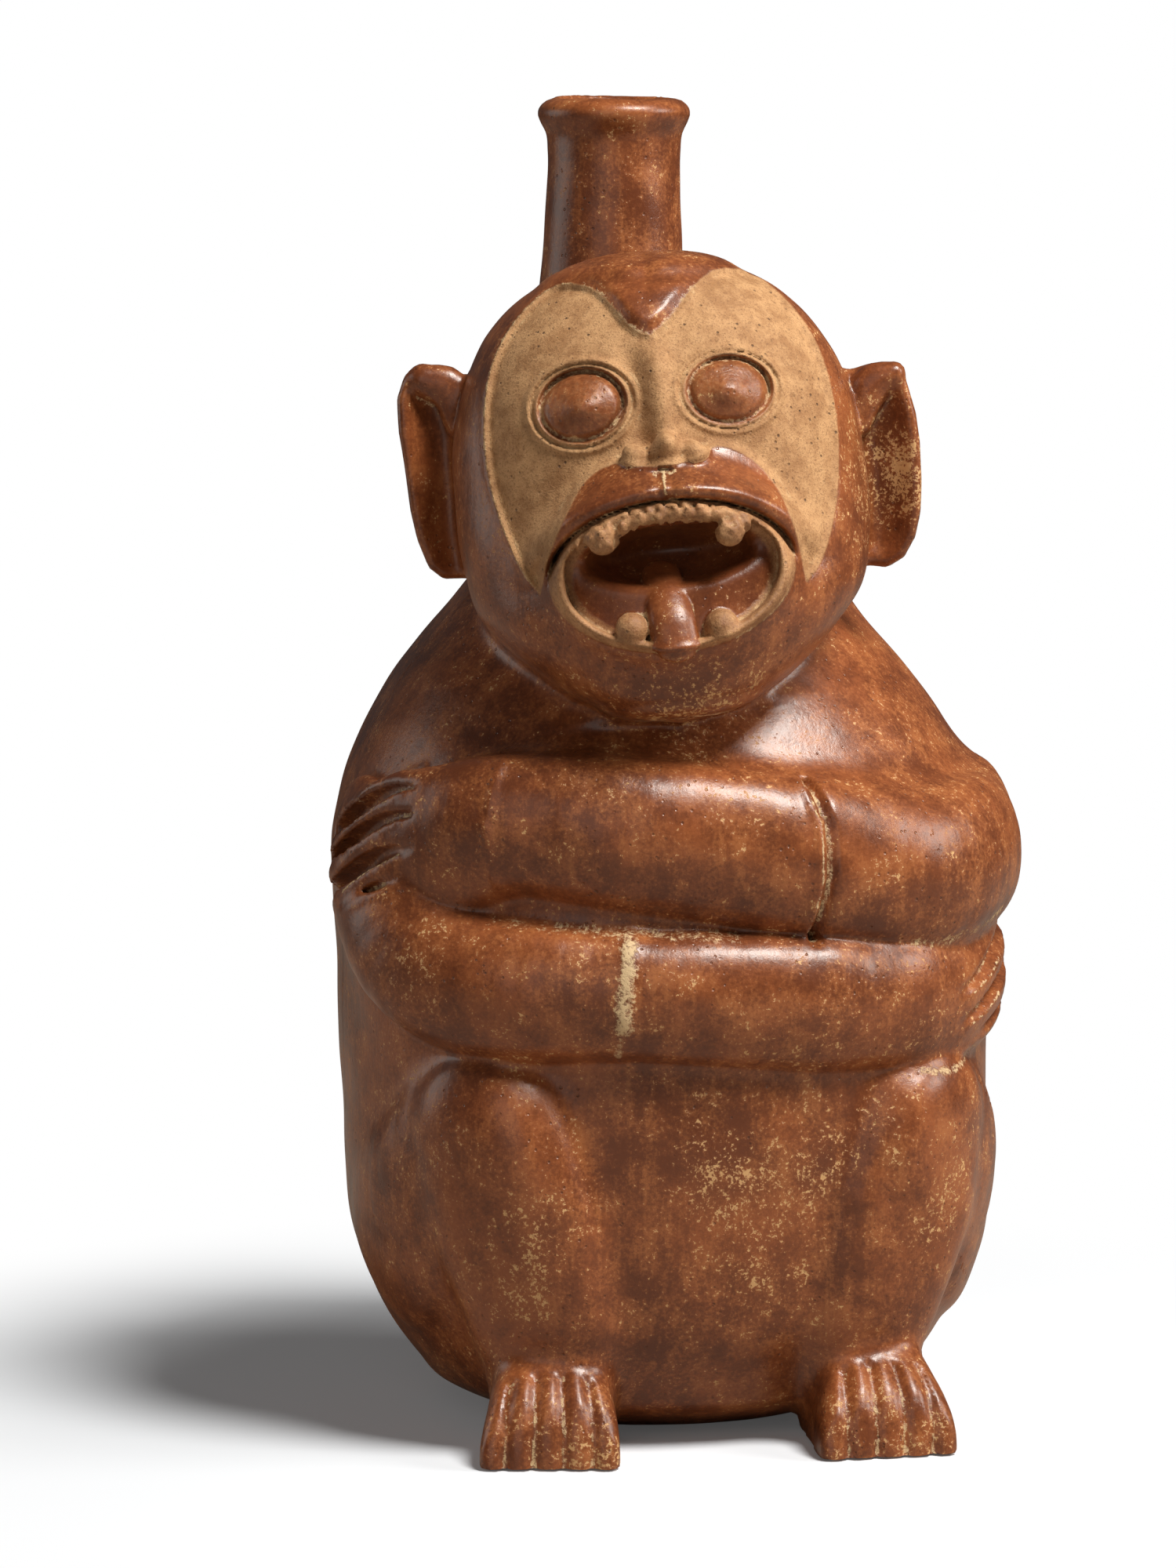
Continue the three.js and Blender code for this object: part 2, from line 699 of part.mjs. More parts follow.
// Ears: a flap set with its outer edge forwards, its front hollowed, with a lobe folded down from
// the top. Shares of the reach beyond the head's side and of the height, from the ear's middle.
const rightEarShares = [
  [-0.45, 0.39], [-0.23, 0.423], [0.06, 0.49], [0.35, 0.505], [0.62, 0.462],
  [0.76, 0.369], [0.8, 0.21], [0.78, 0.018], [0.75, -0.146], [0.69, -0.29],
  [0.56, -0.426], [0.35, -0.49], [0.07, -0.497], [-0.45, -0.469],
];
const leftEarShares = [
  [-0.36, 0.436], [-0.08, 0.456], [0.27, 0.482], [0.65, 0.464], [0.85, 0.372],
  [0.95, 0.231], [0.96, 0.092], [0.92, -0.077], [0.84, -0.231], [0.72, -0.344],
  [0.5, -0.431], [0.2, -0.472], [-0.18, -0.449], [-0.36, -0.41],
];
const rightLobeShares = [[0.36, 0.446, 0.8], [-0.05, 0.39, 1], [-0.13, 0.223, 0.6]];
const leftLobeShares = [[0.65, 0.418, 0.7], [0.23, 0.374, 1], [0.04, 0.192, 0.55]];

function ear(side, rise, outlineShares, lobeShares) {
  const corners = outlineShares.map(
    ([out, up]) => new THREE.Vector2(side * out * earReach, up * earHeight),
  );
  const shape = new THREE.Shape([corners[0]]);
  shape.splineThru(corners.slice(1));
  const flap = new THREE.ExtrudeGeometry(shape, {
    depth: earThickness - 2 * earBevel,
    bevelThickness: earBevel,
    bevelSize: earBevel,
    bevelOffset: -earBevel,
    bevelSegments: 2,
    curveSegments: 2,
  });
  flap.rotateX(Math.PI / 2).translate(0, earThickness / 2, 0);
  const hollowCentre = new THREE.Vector3(side * 0.38 * earReach, -0.55 * earThickness, 0);
  const hollow = ellipsoid(0.4 * earReach, 0.6 * earThickness, 0.36 * earHeight, hollowCentre, 16);
  const stations = lobeShares.map(([out, up, wide]) => ({
    place: new THREE.Vector3(side * out * earReach, -earThickness / 2, up * earHeight),
    outward: ahead,
    breadth: wide * lobeBreadth,
    depth: wide * lobeDepth,
  }));
  const placing = new THREE.Matrix4()
    .makeRotationZ(THREE.MathUtils.degToRad(-side * earFlare))
    .setPosition(side * headHalfWidth, earSet, rise);
  const placed = solid(flap)
    .subtract(solid(hollow))
    .add(bar(stations, slim))
    .transform(placing.elements);
  return placed.subtract(headGrown);
}

// A frame on the front of the head whose Z stands out from the skin
function faceFrame(x, z) {
  const step = headHalfWidth / 24;
  const place = frontOfHead(x, z);
  const aside = frontOfHead(x + step, z).sub(place);
  const up = frontOfHead(x, z + step).sub(place);
  const outward = aside.clone().cross(up).normalize();
  const level = aside.normalize();
  const upright = outward.clone().cross(level);
  return new THREE.Matrix4().makeBasis(level, upright, outward).setPosition(place);
}

// Eyes: a coil of lid round a pellet of eyeball
function eyeball(side) {
  const frame = faceFrame(side * eyeSpacing, eyeRise);
  const origin = new THREE.Vector3();
  const form = ellipsoid(eyeballHalfWidth, eyeballHalfHeight, eyeballProud, origin, 14);
  return cutBy(solid(form.applyMatrix4(frame)), [headGrown]);
}

function eyelid(side) {
  const frame = faceFrame(side * eyeSpacing, eyeRise);
  const coil = new THREE.TorusGeometry(1, lidThickness / lidHalfWidth, 6, 18);
  const sag = -lidThickness;
  coil.scale(lidHalfWidth, lidHalfHeight, lidHalfWidth).translate(0, 0, sag);
  const ball = ellipsoid(
    eyeballHalfWidth + clearance,
    eyeballHalfHeight + clearance,
    eyeballProud + clearance,
    new THREE.Vector3(),
    14,
  );
  return cutBy(solid(coil.applyMatrix4(frame)), [headGrown, solid(ball.applyMatrix4(frame))]);
}

// Nose: a low bridge with a nostril wing at each side
function nose() {
  const tipCentre = frontOfHead(0, noseRise);
  const lobes = [ellipsoid(0.6 * noseHalfWidth, noseProud, noseHalfHeight, tipCentre, 10)];
  for (const side of [-1, 1]) {
    const wing = frontOfHead(side * 0.6 * noseHalfWidth, noseRise);
    const wingHalf = 0.42 * noseHalfWidth;
    lobes.push(ellipsoid(wingHalf, 0.8 * noseProud, 0.75 * noseHalfHeight, wing, 10));
  }
  return cutBy(joined(lobes.map(solid)), [headGrown]);
}

// Brow: the raised peak of the cap, laid on the forehead
function browPeak() {
  const peak = new THREE.Shape();
  peak.moveTo(-browHalfWidth, 0);
  peak.quadraticCurveTo(-browHalfWidth / 3, -browPoint / 3, 0, -browPoint);
  peak.quadraticCurveTo(browHalfWidth / 3, -browPoint / 3, browHalfWidth, 0);
  peak.closePath();
  const plug = new THREE.ExtrudeGeometry(peak, {
    depth: headFront + overrun,
    bevelEnabled: false,
    curveSegments: 6,
  });
  plug.rotateX(Math.PI / 2).translate(0, 0, headHalfHeight - browSet);
  return solid(plug).intersect(headSolid(browProud)).subtract(headGrown);
}

// Upper teeth: one band cut by slits, hung under the upper lip
const toothArcShares = [[-0.44, 0.6], [-0.22, 0.68], [0, 0.7], [0.22, 0.68], [0.44, 0.6]];

function mouthPlace(across, up, sink) {
  const place = frontOfHead(across * mouthHalfWidth, up * mouthHalfHeight - mouthDrop);
  place.y += sink;
  return place;
}

const lipGrown = lipForm(clearance);

function toothBand() {
  const stations = toothArcShares.map(([across, up]) => ({
    place: mouthPlace(across, up, lipThickness),
    outward: ahead,
    breadth: toothHalfHeight,
    depth: toothThickness,
  }));
  return cutBy(bar(stations, slim), [lipGrown]);
}

// Places of the canines, as shares of the mouth's half width and half height
const canineShares = {
  upper_canine_right: [-0.6, 0.5],
  upper_canine_left: [0.6, 0.5],
  lower_canine_right: [-0.42, -0.6],
  lower_canine_left: [0.46, -0.6],
};

function canine(name) {
  const [across, up] = canineShares[name];
  const radius = up > 0 ? upperCanineRadius : lowerCanineRadius;
  const place = mouthPlace(across, up, lipThickness);
  return member(name, cutBy(solid(ellipsoid(radius, radius, radius, place, 12)), [lipGrown]), buff);
}

// Tongue: a flat bar from the floor of the mouth, hanging over the lower lip
function tongue() {
  const row = (up, sink, wide) => ({
    place: mouthPlace(0, up, sink),
    outward: new THREE.Vector3(0, -1, 1).normalize(),
    breadth: wide * tongueHalfWidth,
    depth: tongueThickness,
  });
  const stations = [row(-0.25, mouthDepth / 2, 0.7), row(-0.55, lipThickness, 0.9), row(-0.9, 0, 1)];
  return cutBy(bar(stations, stout), [lipGrown]);
}

head.add(
  member("head_face", faceShell, buff),
  member("head_crown", crownShell, slip),
  member("mouth_cup", mouthCup(), mouthSlip),
  member("lip_rim", lipForm(0).subtract(headGrown), buff),
  member("upper_teeth", toothBand(), buff),
  ...Object.keys(canineShares).map(canine),
  member("tongue", tongue(), mouthSlip),
  member("nose", nose(), buff),
  member("brow_peak", browPeak(), slip),
  member("eyelid_right", eyelid(-1), buff),
  member("eyelid_left", eyelid(1), buff),
  member("eyeball_right", eyeball(-1), slip),
  member("eyeball_left", eyeball(1), slip),
  member("ear_right", ear(-1, rightEarRise, rightEarShares, rightLobeShares), slip),
  member("ear_left", ear(1, leftEarRise, leftEarShares, leftLobeShares), slip),
);

const vessel = new THREE.Group();
vessel.add(
  member("body_front", bodyFrontShell, slip),
  member("body_back", bodyBackShell, slip),
  member("base_disc", solid(discForm), slip),
  member("spout_tube", spoutTube(), slip),
  member("spout_lip", spoutLip(), buff),
  ...limbs,
  head,
);

export default vessel;
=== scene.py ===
import math

import bpy
import numpy as np
import openvdb
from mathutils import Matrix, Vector


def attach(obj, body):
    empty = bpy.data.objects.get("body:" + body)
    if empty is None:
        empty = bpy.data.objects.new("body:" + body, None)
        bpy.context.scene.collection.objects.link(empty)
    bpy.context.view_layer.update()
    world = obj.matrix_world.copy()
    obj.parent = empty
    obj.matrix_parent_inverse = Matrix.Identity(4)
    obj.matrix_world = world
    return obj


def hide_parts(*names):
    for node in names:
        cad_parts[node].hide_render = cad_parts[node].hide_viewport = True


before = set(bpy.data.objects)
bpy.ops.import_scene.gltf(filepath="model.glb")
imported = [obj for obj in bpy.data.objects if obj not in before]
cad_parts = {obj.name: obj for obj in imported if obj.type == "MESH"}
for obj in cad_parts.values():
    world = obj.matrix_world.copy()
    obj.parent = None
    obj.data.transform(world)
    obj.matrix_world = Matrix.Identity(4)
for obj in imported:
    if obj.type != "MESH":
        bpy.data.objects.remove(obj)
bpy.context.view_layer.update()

# The view of the pot.
# A long lens stands a little to the left of the pot's front and a little above its middle.
camera = bpy.data.objects.new("camera", bpy.data.cameras.new("camera"))
bpy.context.collection.objects.link(camera)
bpy.context.scene.camera = camera
camera.data.lens = 143.8
camera.data.sensor_width = 36
camera.location = (-0.2126, -1.1225, 0.247)
seen_point = Vector((-0.0142, 0.0025, 0.1149))
camera.rotation_euler = (seen_point - camera.location).to_track_quat("-Z", "Y").to_euler()
bpy.context.scene.view_settings.view_transform = "Standard"


# The hollow body.
# Clay pressed into a two-part mould makes a tall rounded drum that is flat underneath and drawn
# in to a dome on top. It is worked in millimetres, in blocks of samples that are below 0 in clay.
FAR = 9.0  # depth given to places well clear of the clay
RANK = [
    "tongue", "lower_canines", "upper_canines", "teeth", "nose", "head", "left_ear", "right_ear",
    "left_arm", "right_arm", "left_foot", "right_foot", "left_leg", "right_leg", "spout", "body",
]  # where two members meet, the later one runs under the earlier


def smooth(value, low, high):
    t = np.clip((value - low) / (high - low), 0, 1)
    return t * t * (3 - 2 * t)


class Clay:
    """A block of sampled space that the pot's members are added to, negative inside the clay."""

    def __init__(self, low, high, step):
        self.low, self.step = np.array(low, np.float32), step
        counts = np.ceil((np.array(high) - self.low) / step).astype(int) + 1
        self.axes = [
            (start + step * np.arange(count)).astype(np.float32)
            for start, count in zip(self.low, counts)
        ]
        self.depth = np.full(counts, FAR, np.float32)
        self.seam = np.zeros(counts, np.float32)  # up to 1 where two members meet
        self.members = {}

    def near(self, low, high):
        """The part of the block between two corners, and its places on the three axes"""
        part, places = [], []
        for i, axis in enumerate(self.axes):
            first, last = np.searchsorted(axis, [low[i], high[i]])
            part.append(slice(first, last))
            shape = [1, 1, 1]
            shape[i] = -1
            places.append(axis[first:last].reshape(shape))
        return tuple(part), places

    def lay(self, member, part, form, blend, seam=0.0):
        """Adds a form to a member, with a fillet of about the size of blend round it"""
        old = self.depth[part]
        if old.size == 0:
            return
        if member not in self.members:
            self.members[member] = np.full(self.depth.shape, FAR, np.float32)
        own = self.members[member]
        own[part] = np.minimum(own[part], form)
        if np.any(seam):
            meeting = seam * np.clip(1 - np.hypot(old, form) / 1.6, 0, 1)
            self.seam[part] = np.maximum(self.seam[part], meeting)
        share = np.clip(0.5 + 0.5 * (old - form) / blend, 0, 1)
        self.depth[part] = old + share * (form - old) - blend * share * (1 - share)

    def cut(self, part, form, blend):
        """Takes a form out, with its edge eased by about the size of blend"""
        old = self.depth[part]
        share = np.clip(0.5 - 0.5 * (old + form) / blend, 0, 1)
        self.depth[part] = old + share * (-form - old) + blend * share * (1 - share)
        for own in self.members.values():
            own[part] = np.maximum(own[part], -form)

    def dress(self, touches, band=3.0):
        """Raises or sinks the surface by the sum of what each touch says for a place"""
        close = np.nonzero(np.abs(self.depth) < band)
        points = np.stack([axis[i] for axis, i in zip(self.axes, close)], axis=1)
        raised = np.zeros(len(points), np.float32)
        for touch in touches:
            raised += touch(points)
        self.depth[close] -= raised

    def parted(self, member):
        """The finished clay of one member: it ends where the members under it begin, and runs
        a little way, slightly sunk, under those above it"""
        own, place = self.members[member], RANK.index(member)
        above = [self.members[m] for m in RANK[:place] if m in self.members]
        below = [self.members[m] for m in RANK[place + 1 :] if m in self.members]
        field = self.depth
        if below:
            field = np.maximum(field, own - np.minimum.reduce(below))
        if above:
            over = own - np.minimum.reduce(above)
            field = np.maximum(field + 0.12 * smooth(over, -0.3, 0.3), over - 2.0)
        return field


def eased(rows):
    """A smooth curve through rows of [place, values...], read off at many places"""
    rows = np.array(rows, float)
    places, values = rows[:, 0], rows[:, 1:]
    slopes = np.gradient(values, places, axis=0)
    fine = np.linspace(places[0], places[-1], 500)
    k = np.clip(np.searchsorted(places, fine, side="right") - 1, 0, len(places) - 2)
    span = (places[k + 1] - places[k])[:, None]
    t = (fine - places[k])[:, None] / span
    start = (1 + 2 * t) * (1 - t) ** 2 * values[k] + t * (1 - t) ** 2 * span * slopes[k]
    end = t * t * (3 - 2 * t) * values[k + 1] - t * t * (1 - t) * span * slopes[k + 1]
    return fine, start + end


SQUARENESS = 2.3  # 2 is an oval, and more is squarer


def oval_form(x, y, z, curve):
    """A stack of soft ovals, whose half width, reach before and behind and middle follow a curve"""
    places, values = curve
    width, front, back, aside = (np.interp(z, places, values[:, i]) for i in range(4))
    half, middle = (front + back) / 2, (back - front) / 2
    far = np.abs((x - aside) / width) ** SQUARENESS + np.abs((y - middle) / half) ** SQUARENESS
    form = (far ** (1 / SQUARENESS) - 1) * np.minimum(width, half)
    return np.maximum(form, np.maximum(places[0] - z, z - places[-1])).astype(np.float32)


def evened(form, step):
    """A form's values divided by their slope, which makes them distances near its surface"""
    if min(form.shape) < 2:
        return form
    slope = np.sqrt(sum(g * g for g in np.gradient(form, step)))
    return form / np.maximum(slope, 0.6)


BODY_HEIGHT = 170
BODY_HALF_WIDTH = 61
BODY_FRONT = 51
BODY_BACK = 59
body_shares = [
    [0, 0.42, 0.42, 0.44, 0],
    [0.012, 0.52, 0.56, 0.54, 0],
    [0.024, 0.62, 0.68, 0.66, 0],
    [0.038, 0.7, 0.762, 0.735, 0],
    [0.06, 0.757, 0.815, 0.79, 0],
    [0.11, 0.85, 0.9, 0.865, 0],
    [0.18, 0.93, 0.965, 0.925, 0],
    [0.27, 0.962, 1, 0.968, 0],
    [0.37, 0.968, 1, 0.985, 0],
    [0.47, 0.98, 0.985, 0.995, 0],
    [0.57, 0.995, 0.96, 1, 0],
    [0.64, 0.983, 0.925, 0.998, 0],
    [0.7, 0.935, 0.86, 0.985, 0.006],
    [0.75, 0.86, 0.765, 0.955, 0.012],
    [0.8, 0.765, 0.64, 0.905, 0.017],
    [0.85, 0.65, 0.49, 0.83, 0.014],
    [0.9, 0.54, 0.33, 0.72, 0.004],
    [0.94, 0.43, 0.2, 0.6, 0],
    [0.97, 0.315, 0.09, 0.455, 0],
    [0.99, 0.19, 0, 0.29, 0],
    [1, 0.02, -0.09, 0.11, 0],
]  # of the height, half width, front and back, and how far each level stands aside
body_curve = eased(
    np.array(body_shares)
    * [BODY_HEIGHT, BODY_HALF_WIDTH, BODY_FRONT, BODY_BACK, -BODY_HALF_WIDTH]
)
forms = []  # laid on each block of clay in turn
touches = []  # shallow work on the surface


def body_form(clay):
    part, (x, y, z) = clay.near((-75, -75, -5), (75, 75, BODY_HEIGHT + 8))
    clay.lay("body", part, evened(oval_form(x, y, z, body_curve), clay.step), 0.5)


def wander(points, length, seed):
    """A slow smooth unevenness between about -1 and 1, with waves of about that length"""
    random = np.random.default_rng(seed)
    total = 0
    for _ in range(7):
        way = random.normal(size=3)
        way *= 2 * math.pi / length / np.linalg.norm(way) * random.uniform(0.7, 1.4)
        total = total + np.cos(points @ way.astype(np.float32) + random.uniform(0, 6.28))
    return total / 3


forms.append(body_form)
touches.append(lambda p: 0.35 * wander(p, 45, 1) + 0.1 * wander(p, 14, 2))


# The legs.
# Drawn up before the body, each is a low soft relief: a thigh along the side, a knee under the
# arms and a shin down to the foot.
LEG_SIZE = (13.5, 7)  # half of the breadth along the skin, and how far it stands proud


def on_body(around, height_share):
    """A place on the body's skin and its outward direction, by degrees round from the front"""
    z = height_share * BODY_HEIGHT
    places, values = body_curve
    width, front, back, aside = (np.interp(z, places, values[:, i]) for i in range(4))
    half, middle = (front + back) / 2, (back - front) / 2
    angle = math.radians(around)
    across = math.copysign(abs(math.sin(angle)) ** (2 / SQUARENESS), angle)
    ahead = math.copysign(abs(math.cos(angle)) ** (2 / SQUARENESS), math.cos(angle))
    power = SQUARENESS - 1
    out_x = math.copysign(abs(across) ** power, across) / width
    out_y = -math.copysign(abs(ahead) ** power, ahead) / half
    out = Vector((out_x, out_y, 0)).normalized()
    return Vector((aside + width * across, middle - half * ahead, z)), out


def bar(clay, stations):
    """A rounded bar along stations of (place, outward, half breadth, depth). Also gives the
    upward side of each place, from -1 to 1 across the bar's breadth, and the depth there."""
    rows = np.array([[*place, *out, breadth, depth] for place, out, breadth, depth in stations])
    _, fine = eased(np.column_stack([np.arange(len(rows)), rows]))
    fine = fine[np.linspace(0, len(fine) - 1, 4 * len(rows) - 3).astype(int)]
    reach = rows[:, 6:].max() + 6
    part, (x, y, z) = clay.near(fine[:, :3].min(0) - reach, fine[:, :3].max(0) + reach)
    form = np.full([p.stop - p.start for p in part], FAR, np.float32)
    upward, thick = np.zeros_like(form), np.zeros_like(form)
    if form.size == 0:
        return part, form, upward, thick
    for near_row, far_row in zip(fine, fine[1:]):
        start, run = near_row[:3], far_row[:3] - near_row[:3]
        length = np.linalg.norm(run)
        along = run / length
        low = np.minimum(near_row[:3], far_row[:3]) - reach
        high = np.maximum(near_row[:3], far_row[:3]) + reach
        box = tuple(
            slice(*np.searchsorted(places.ravel(), [low[i], high[i]]))
            for i, places in enumerate((x, y, z))
        )
        dx, dy, dz = x[box[0]] - start[0], y[:, box[1]] - start[1], z[:, :, box[2]] - start[2]
        t = np.clip((dx * along[0] + dy * along[1] + dz * along[2]) / length, 0, 1)
        dx, dy, dz = (d - t * r for d, r in zip((dx, dy, dz), run))
        out = near_row[3:6] + far_row[3:6]
        out = out - along * (out @ along)
        out = out / np.linalg.norm(out)
        aside = np.cross(out, along)
        aside = aside * math.copysign(1, aside[2])
        breadth = near_row[6] + t * (far_row[6] - near_row[6])
        depth = near_row[7] + t * (far_row[7] - near_row[7])
        a = (dx * aside[0] + dy * aside[1] + dz * aside[2]) / breadth
        o = (dx * out[0] + dy * out[1] + dz * out[2]) / depth
        e = (dx * along[0] + dy * along[1] + dz * along[2]) / breadth
        far = np.sqrt(a * a + o * o + e * e) + 1e-4
        slope = np.sqrt((a * a + e * e) / breadth**2 + (o / depth) ** 2) + 1e-4
        here = far * (far - 1) / slope
        nearer = here < form[box]
        form[box] = np.where(nearer, here, form[box])
        upward[box] = np.where(nearer, a, upward[box])
        thick[box] = np.where(nearer, depth, thick[box])
    return part, form, upward, thick


def limb(member, rows, size, below, above=None, seam=0.0):
    """A bar laid on the body along rows of [degrees round, share of height, of breadth, of
    depth], with a fifth value where it sinks in by a share of the depth. The fillets below and
    above it may differ."""
    breadth, depth = size
    stations = []
    for around, height, wide, thick, *sunk in rows:
        place, out = on_body(around, height)
        stations.append((place - sum(sunk) * depth * out, out, wide * breadth, thick * depth))

    def laid(clay):
        part, form, upward, thick = bar(clay, stations)
        lower = 1 - smooth(upward, -0.5, 0.2)
        blend = below if above is None else below + (above - below) * (1 - lower)
        blend = 0.4 + (blend - 0.4) * smooth(thick, 0.5, 4.5)
        clay.lay(member, part, form, blend, seam * lower if above else seam)

    forms.append(laid)


for side, name in ((-1, "right_leg"), (1, "left_leg")):
    thigh = [
        [side * 69, 0.2, 0.85, 0.5, 0.56],
        [side * 57, 0.27, 0.92, 0.5, 0.2],
        [side * 42, 0.325, 0.9, 0.6],
    ]
    shin = [
        [side * 39, 0.345, 0.8, 0.66],
        [side * 34, 0.25, 0.95, 0.8],
        [side * 32, 0.15, 0.92, 0.82],
        [side * 32, 0.09, 0.85, 0.75],
    ]
    limb(name, thigh, LEG_SIZE, 8)
    limb(name, shin, LEG_SIZE, 6, seam=0.3)


# The feet.
# Each is a wedge of clay that widens to the toes and ends in a steep rounded front. Scored
# grooves part five toes, and it is flat underneath.
FOOT_LENGTH = 20
FOOT_HALF_WIDTH = 13
FOOT_HEIGHT = 20
FOOT_SQUARENESS = 3
TOE_COUNT = 5
FOOT_AHEAD = 36
foot_shares = [
    [-0.45, 0.6, 0.3], [-0.36, 0.76, 0.72], [-0.16, 0.83, 0.98], [0.3, 0.9, 0.97],
    [0.55, 0.95, 0.84], [0.75, 0.98, 0.7], [0.89, 0.98, 0.54], [0.97, 0.95, 0.36],
    [1.02, 0.85, 0.1],
]  # of the length, the half width and the height
foot_curve = eased(foot_shares)
marks = []  # where pale deposit lies, as functions of a place


def line_share(points, course, width, reach=14.0):
    """1 on a course of (place, outward), falling away to each side within about the width"""
    spots = np.array([place for place, _ in course], np.float32)
    margin = max(3 * width, reach)
    close = np.all((points > spots.min(0) - margin) & (points < spots.max(0) + margin), axis=1)
    share = np.zeros(len(points), np.float32)
    kept = points[close]
    best = np.full(len(kept), 99.0, np.float32)
    for (start, out), (end, _) in zip(course, course[1:]):
        start, end, out = (np.array(v, np.float32) for v in (start, end, out))
        run = end - start
        out = out - run * (out @ run) / (run @ run)
        out /= np.linalg.norm(out)
        away = kept - start
        t = np.clip(away @ run / (run @ run), 0, 1)
        away = away - t[:, None] * run
        proud = away @ out
        aside = np.sqrt(np.maximum((away * away).sum(1) - proud * proud, 0))
        best = np.minimum(best, np.where(np.abs(proud) < reach, aside, 99))
    share[close] = np.exp(-((best / width) ** 2))
    return share


def score(course, width, height, deposit=0.0, deposit_width=1.0):
    """A groove (or a ridge, where height is above 0), which may hold pale deposit"""
    touches.append(lambda p: height * line_share(p, course, width))
    if deposit:
        marks.append(lambda p: deposit * line_share(p, course, deposit_width))


def foot(side, member, spread, splay):
    """The foot on one side, spread from the middle line and splayed outwards by some degrees"""
    c, s = math.cos(math.radians(side * splay)), math.sin(math.radians(side * splay))
    heel = (side * spread, -FOOT_AHEAD)

    def place(x, along, z):
        y = -along * FOOT_LENGTH
        return Vector((heel[0] + x * c - y * s, heel[1] + x * s + y * c, z))

    def top(x, along):
        wide, high = (np.interp(along, foot_curve[0], v) for v in foot_curve[1].T)
        fall = np.clip(1 - np.abs(x / (wide * FOOT_HALF_WIDTH)) ** FOOT_SQUARENESS, 0, 1)
        return high * FOOT_HEIGHT * fall ** (1 / FOOT_SQUARENESS)

    def laid(clay):
        middle = np.array(place(0, 0.3, 8))
        part, (x, y, z) = clay.near(middle - 24, middle + 24)
        if clay.depth[part].size == 0:
            return
        dx, dy = x - heel[0], y - heel[1]
        aside, along = dx * c + dy * s, (dx * s - dy * c) / FOOT_LENGTH
        wide, high = (np.interp(along, foot_curve[0], v) for v in foot_curve[1].T)
        far = np.abs(aside / (wide * FOOT_HALF_WIDTH)) ** FOOT_SQUARENESS
        far = far + (np.maximum(z, 0) / (high * FOOT_HEIGHT)) ** FOOT_SQUARENESS
        form = (far ** (1 / FOOT_SQUARENESS) - 1) * np.minimum(wide, high) * FOOT_HALF_WIDTH
        form = evened(form.astype(np.float32), clay.step)
        ends = np.maximum(along - foot_curve[0][-1], foot_curve[0][0] - along) * FOOT_LENGTH
        clay.lay(member, part, np.maximum(form, ends).astype(np.float32), 3.5, 0.3)

    forms.append(laid)
    for k in range(1, TOE_COUNT):
        between = (k - TOE_COUNT / 2) * 2 * FOOT_HALF_WIDTH / TOE_COUNT
        course = []
        for along, drawn in ((0.64, 0.86), (0.74, 0.9), (0.84, 0.95), (0.92, 0.98), (0.98, 1)):
            x = drawn * between
            course.append((place(x, along, top(x, along)), Vector((0, -1, 1)).normalized()))
        course.append((place(between, 1.03, 1), Vector((0, -1, 0))))
        score(course, 0.75, -1.3, 0.6, 0.6)


foot(-1, "right_foot", 27.8, 10)
foot(1, "left_foot", 29.7, 2)


# The arms.
# Slabs of clay are laid on the body and smoothed into it. The figure's left arm crosses above
# the right one. Each elbow has a scored crease, and each wrist a faint ridge.
ARM_SIZE = (13.5, 8)  # half of the breadth along the skin, and how far it stands proud
right_arm = [
    [-72, 0.64, 0.8, 0.5],
    [-66, 0.59, 0.92, 0.8],
    [-56, 0.527, 0.95, 1.05],
    [-44, 0.5, 0.93, 1.08],
    [-30, 0.49, 0.92, 1.05],
    [-12.5, 0.487, 0.84, 0.92],
    [0, 0.484, 0.88, 0.94],
    [15, 0.478, 0.9, 0.93],
    [31, 0.476, 0.88, 0.85],
]
left_arm = [
    [91, 0.625, 0.85, 0.55, 0.62],
    [81, 0.622, 0.92, 0.5, 0.24],
    [69, 0.616, 0.96, 0.68, 0.06],
    [55, 0.61, 1.02, 0.95],
    [36, 0.598, 1.06, 1.12],
    [13.5, 0.623, 1.02, 1.04],
    [2, 0.638, 1, 0.98],
    [-15, 0.654, 0.95, 0.94],
    [-37, 0.658, 0.88, 0.85],
]
# where the left arm lies on the right one, by degrees round and share of height
join_rounds = (-36, -20, 6, 34, 44, 58)
join_heights = (0.566, 0.559, 0.55, 0.534, 0.537, 0.556)


def skin_course(*places):
    return [on_body(around, height) for around, height in places]


limb("right_arm", right_arm, ARM_SIZE, 2.2)
limb("left_arm", left_arm, ARM_SIZE, 1.2, 8, seam=0.6)
score(skin_course((13.7, 0.7), (14.4, 0.66), (14.2, 0.61), (12.8, 0.545)), 0.8, -1.9)
score(skin_course((12.2, 0.7), (12.9, 0.66), (12.7, 0.61), (11.6, 0.55)), 0.9, 0.7, 0.68, 0.5)
score(skin_course((-34, 0.72), (-35.2, 0.66), (-34.5, 0.6)), 0.8, 0.5, 0.4, 0.7)
score(skin_course((-12.2, 0.55), (-12.9, 0.51), (-13.6, 0.46)), 1.6, 0.4, 0.74, 2.6)
score(skin_course((-13.6, 0.47), (-14.6, 0.43)), 1.6, 0.3, 0.62, 1.4)
for start, end, pale in ((-36, -24, 0.5), (-24, 2, 0.56), (2, 30, 0.42), (30, 58, 0.58)):
    rounds = np.linspace(start, end, 4)
    join = zip(rounds, np.interp(rounds, join_rounds, join_heights))
    score(skin_course(*join), 1.2, -0.2, pale, 2.1)
score(skin_course((33, 0.4), (41, 0.396), (47, 0.4), (53, 0.412)), 1.2, -0.2, 0.62, 1.4)


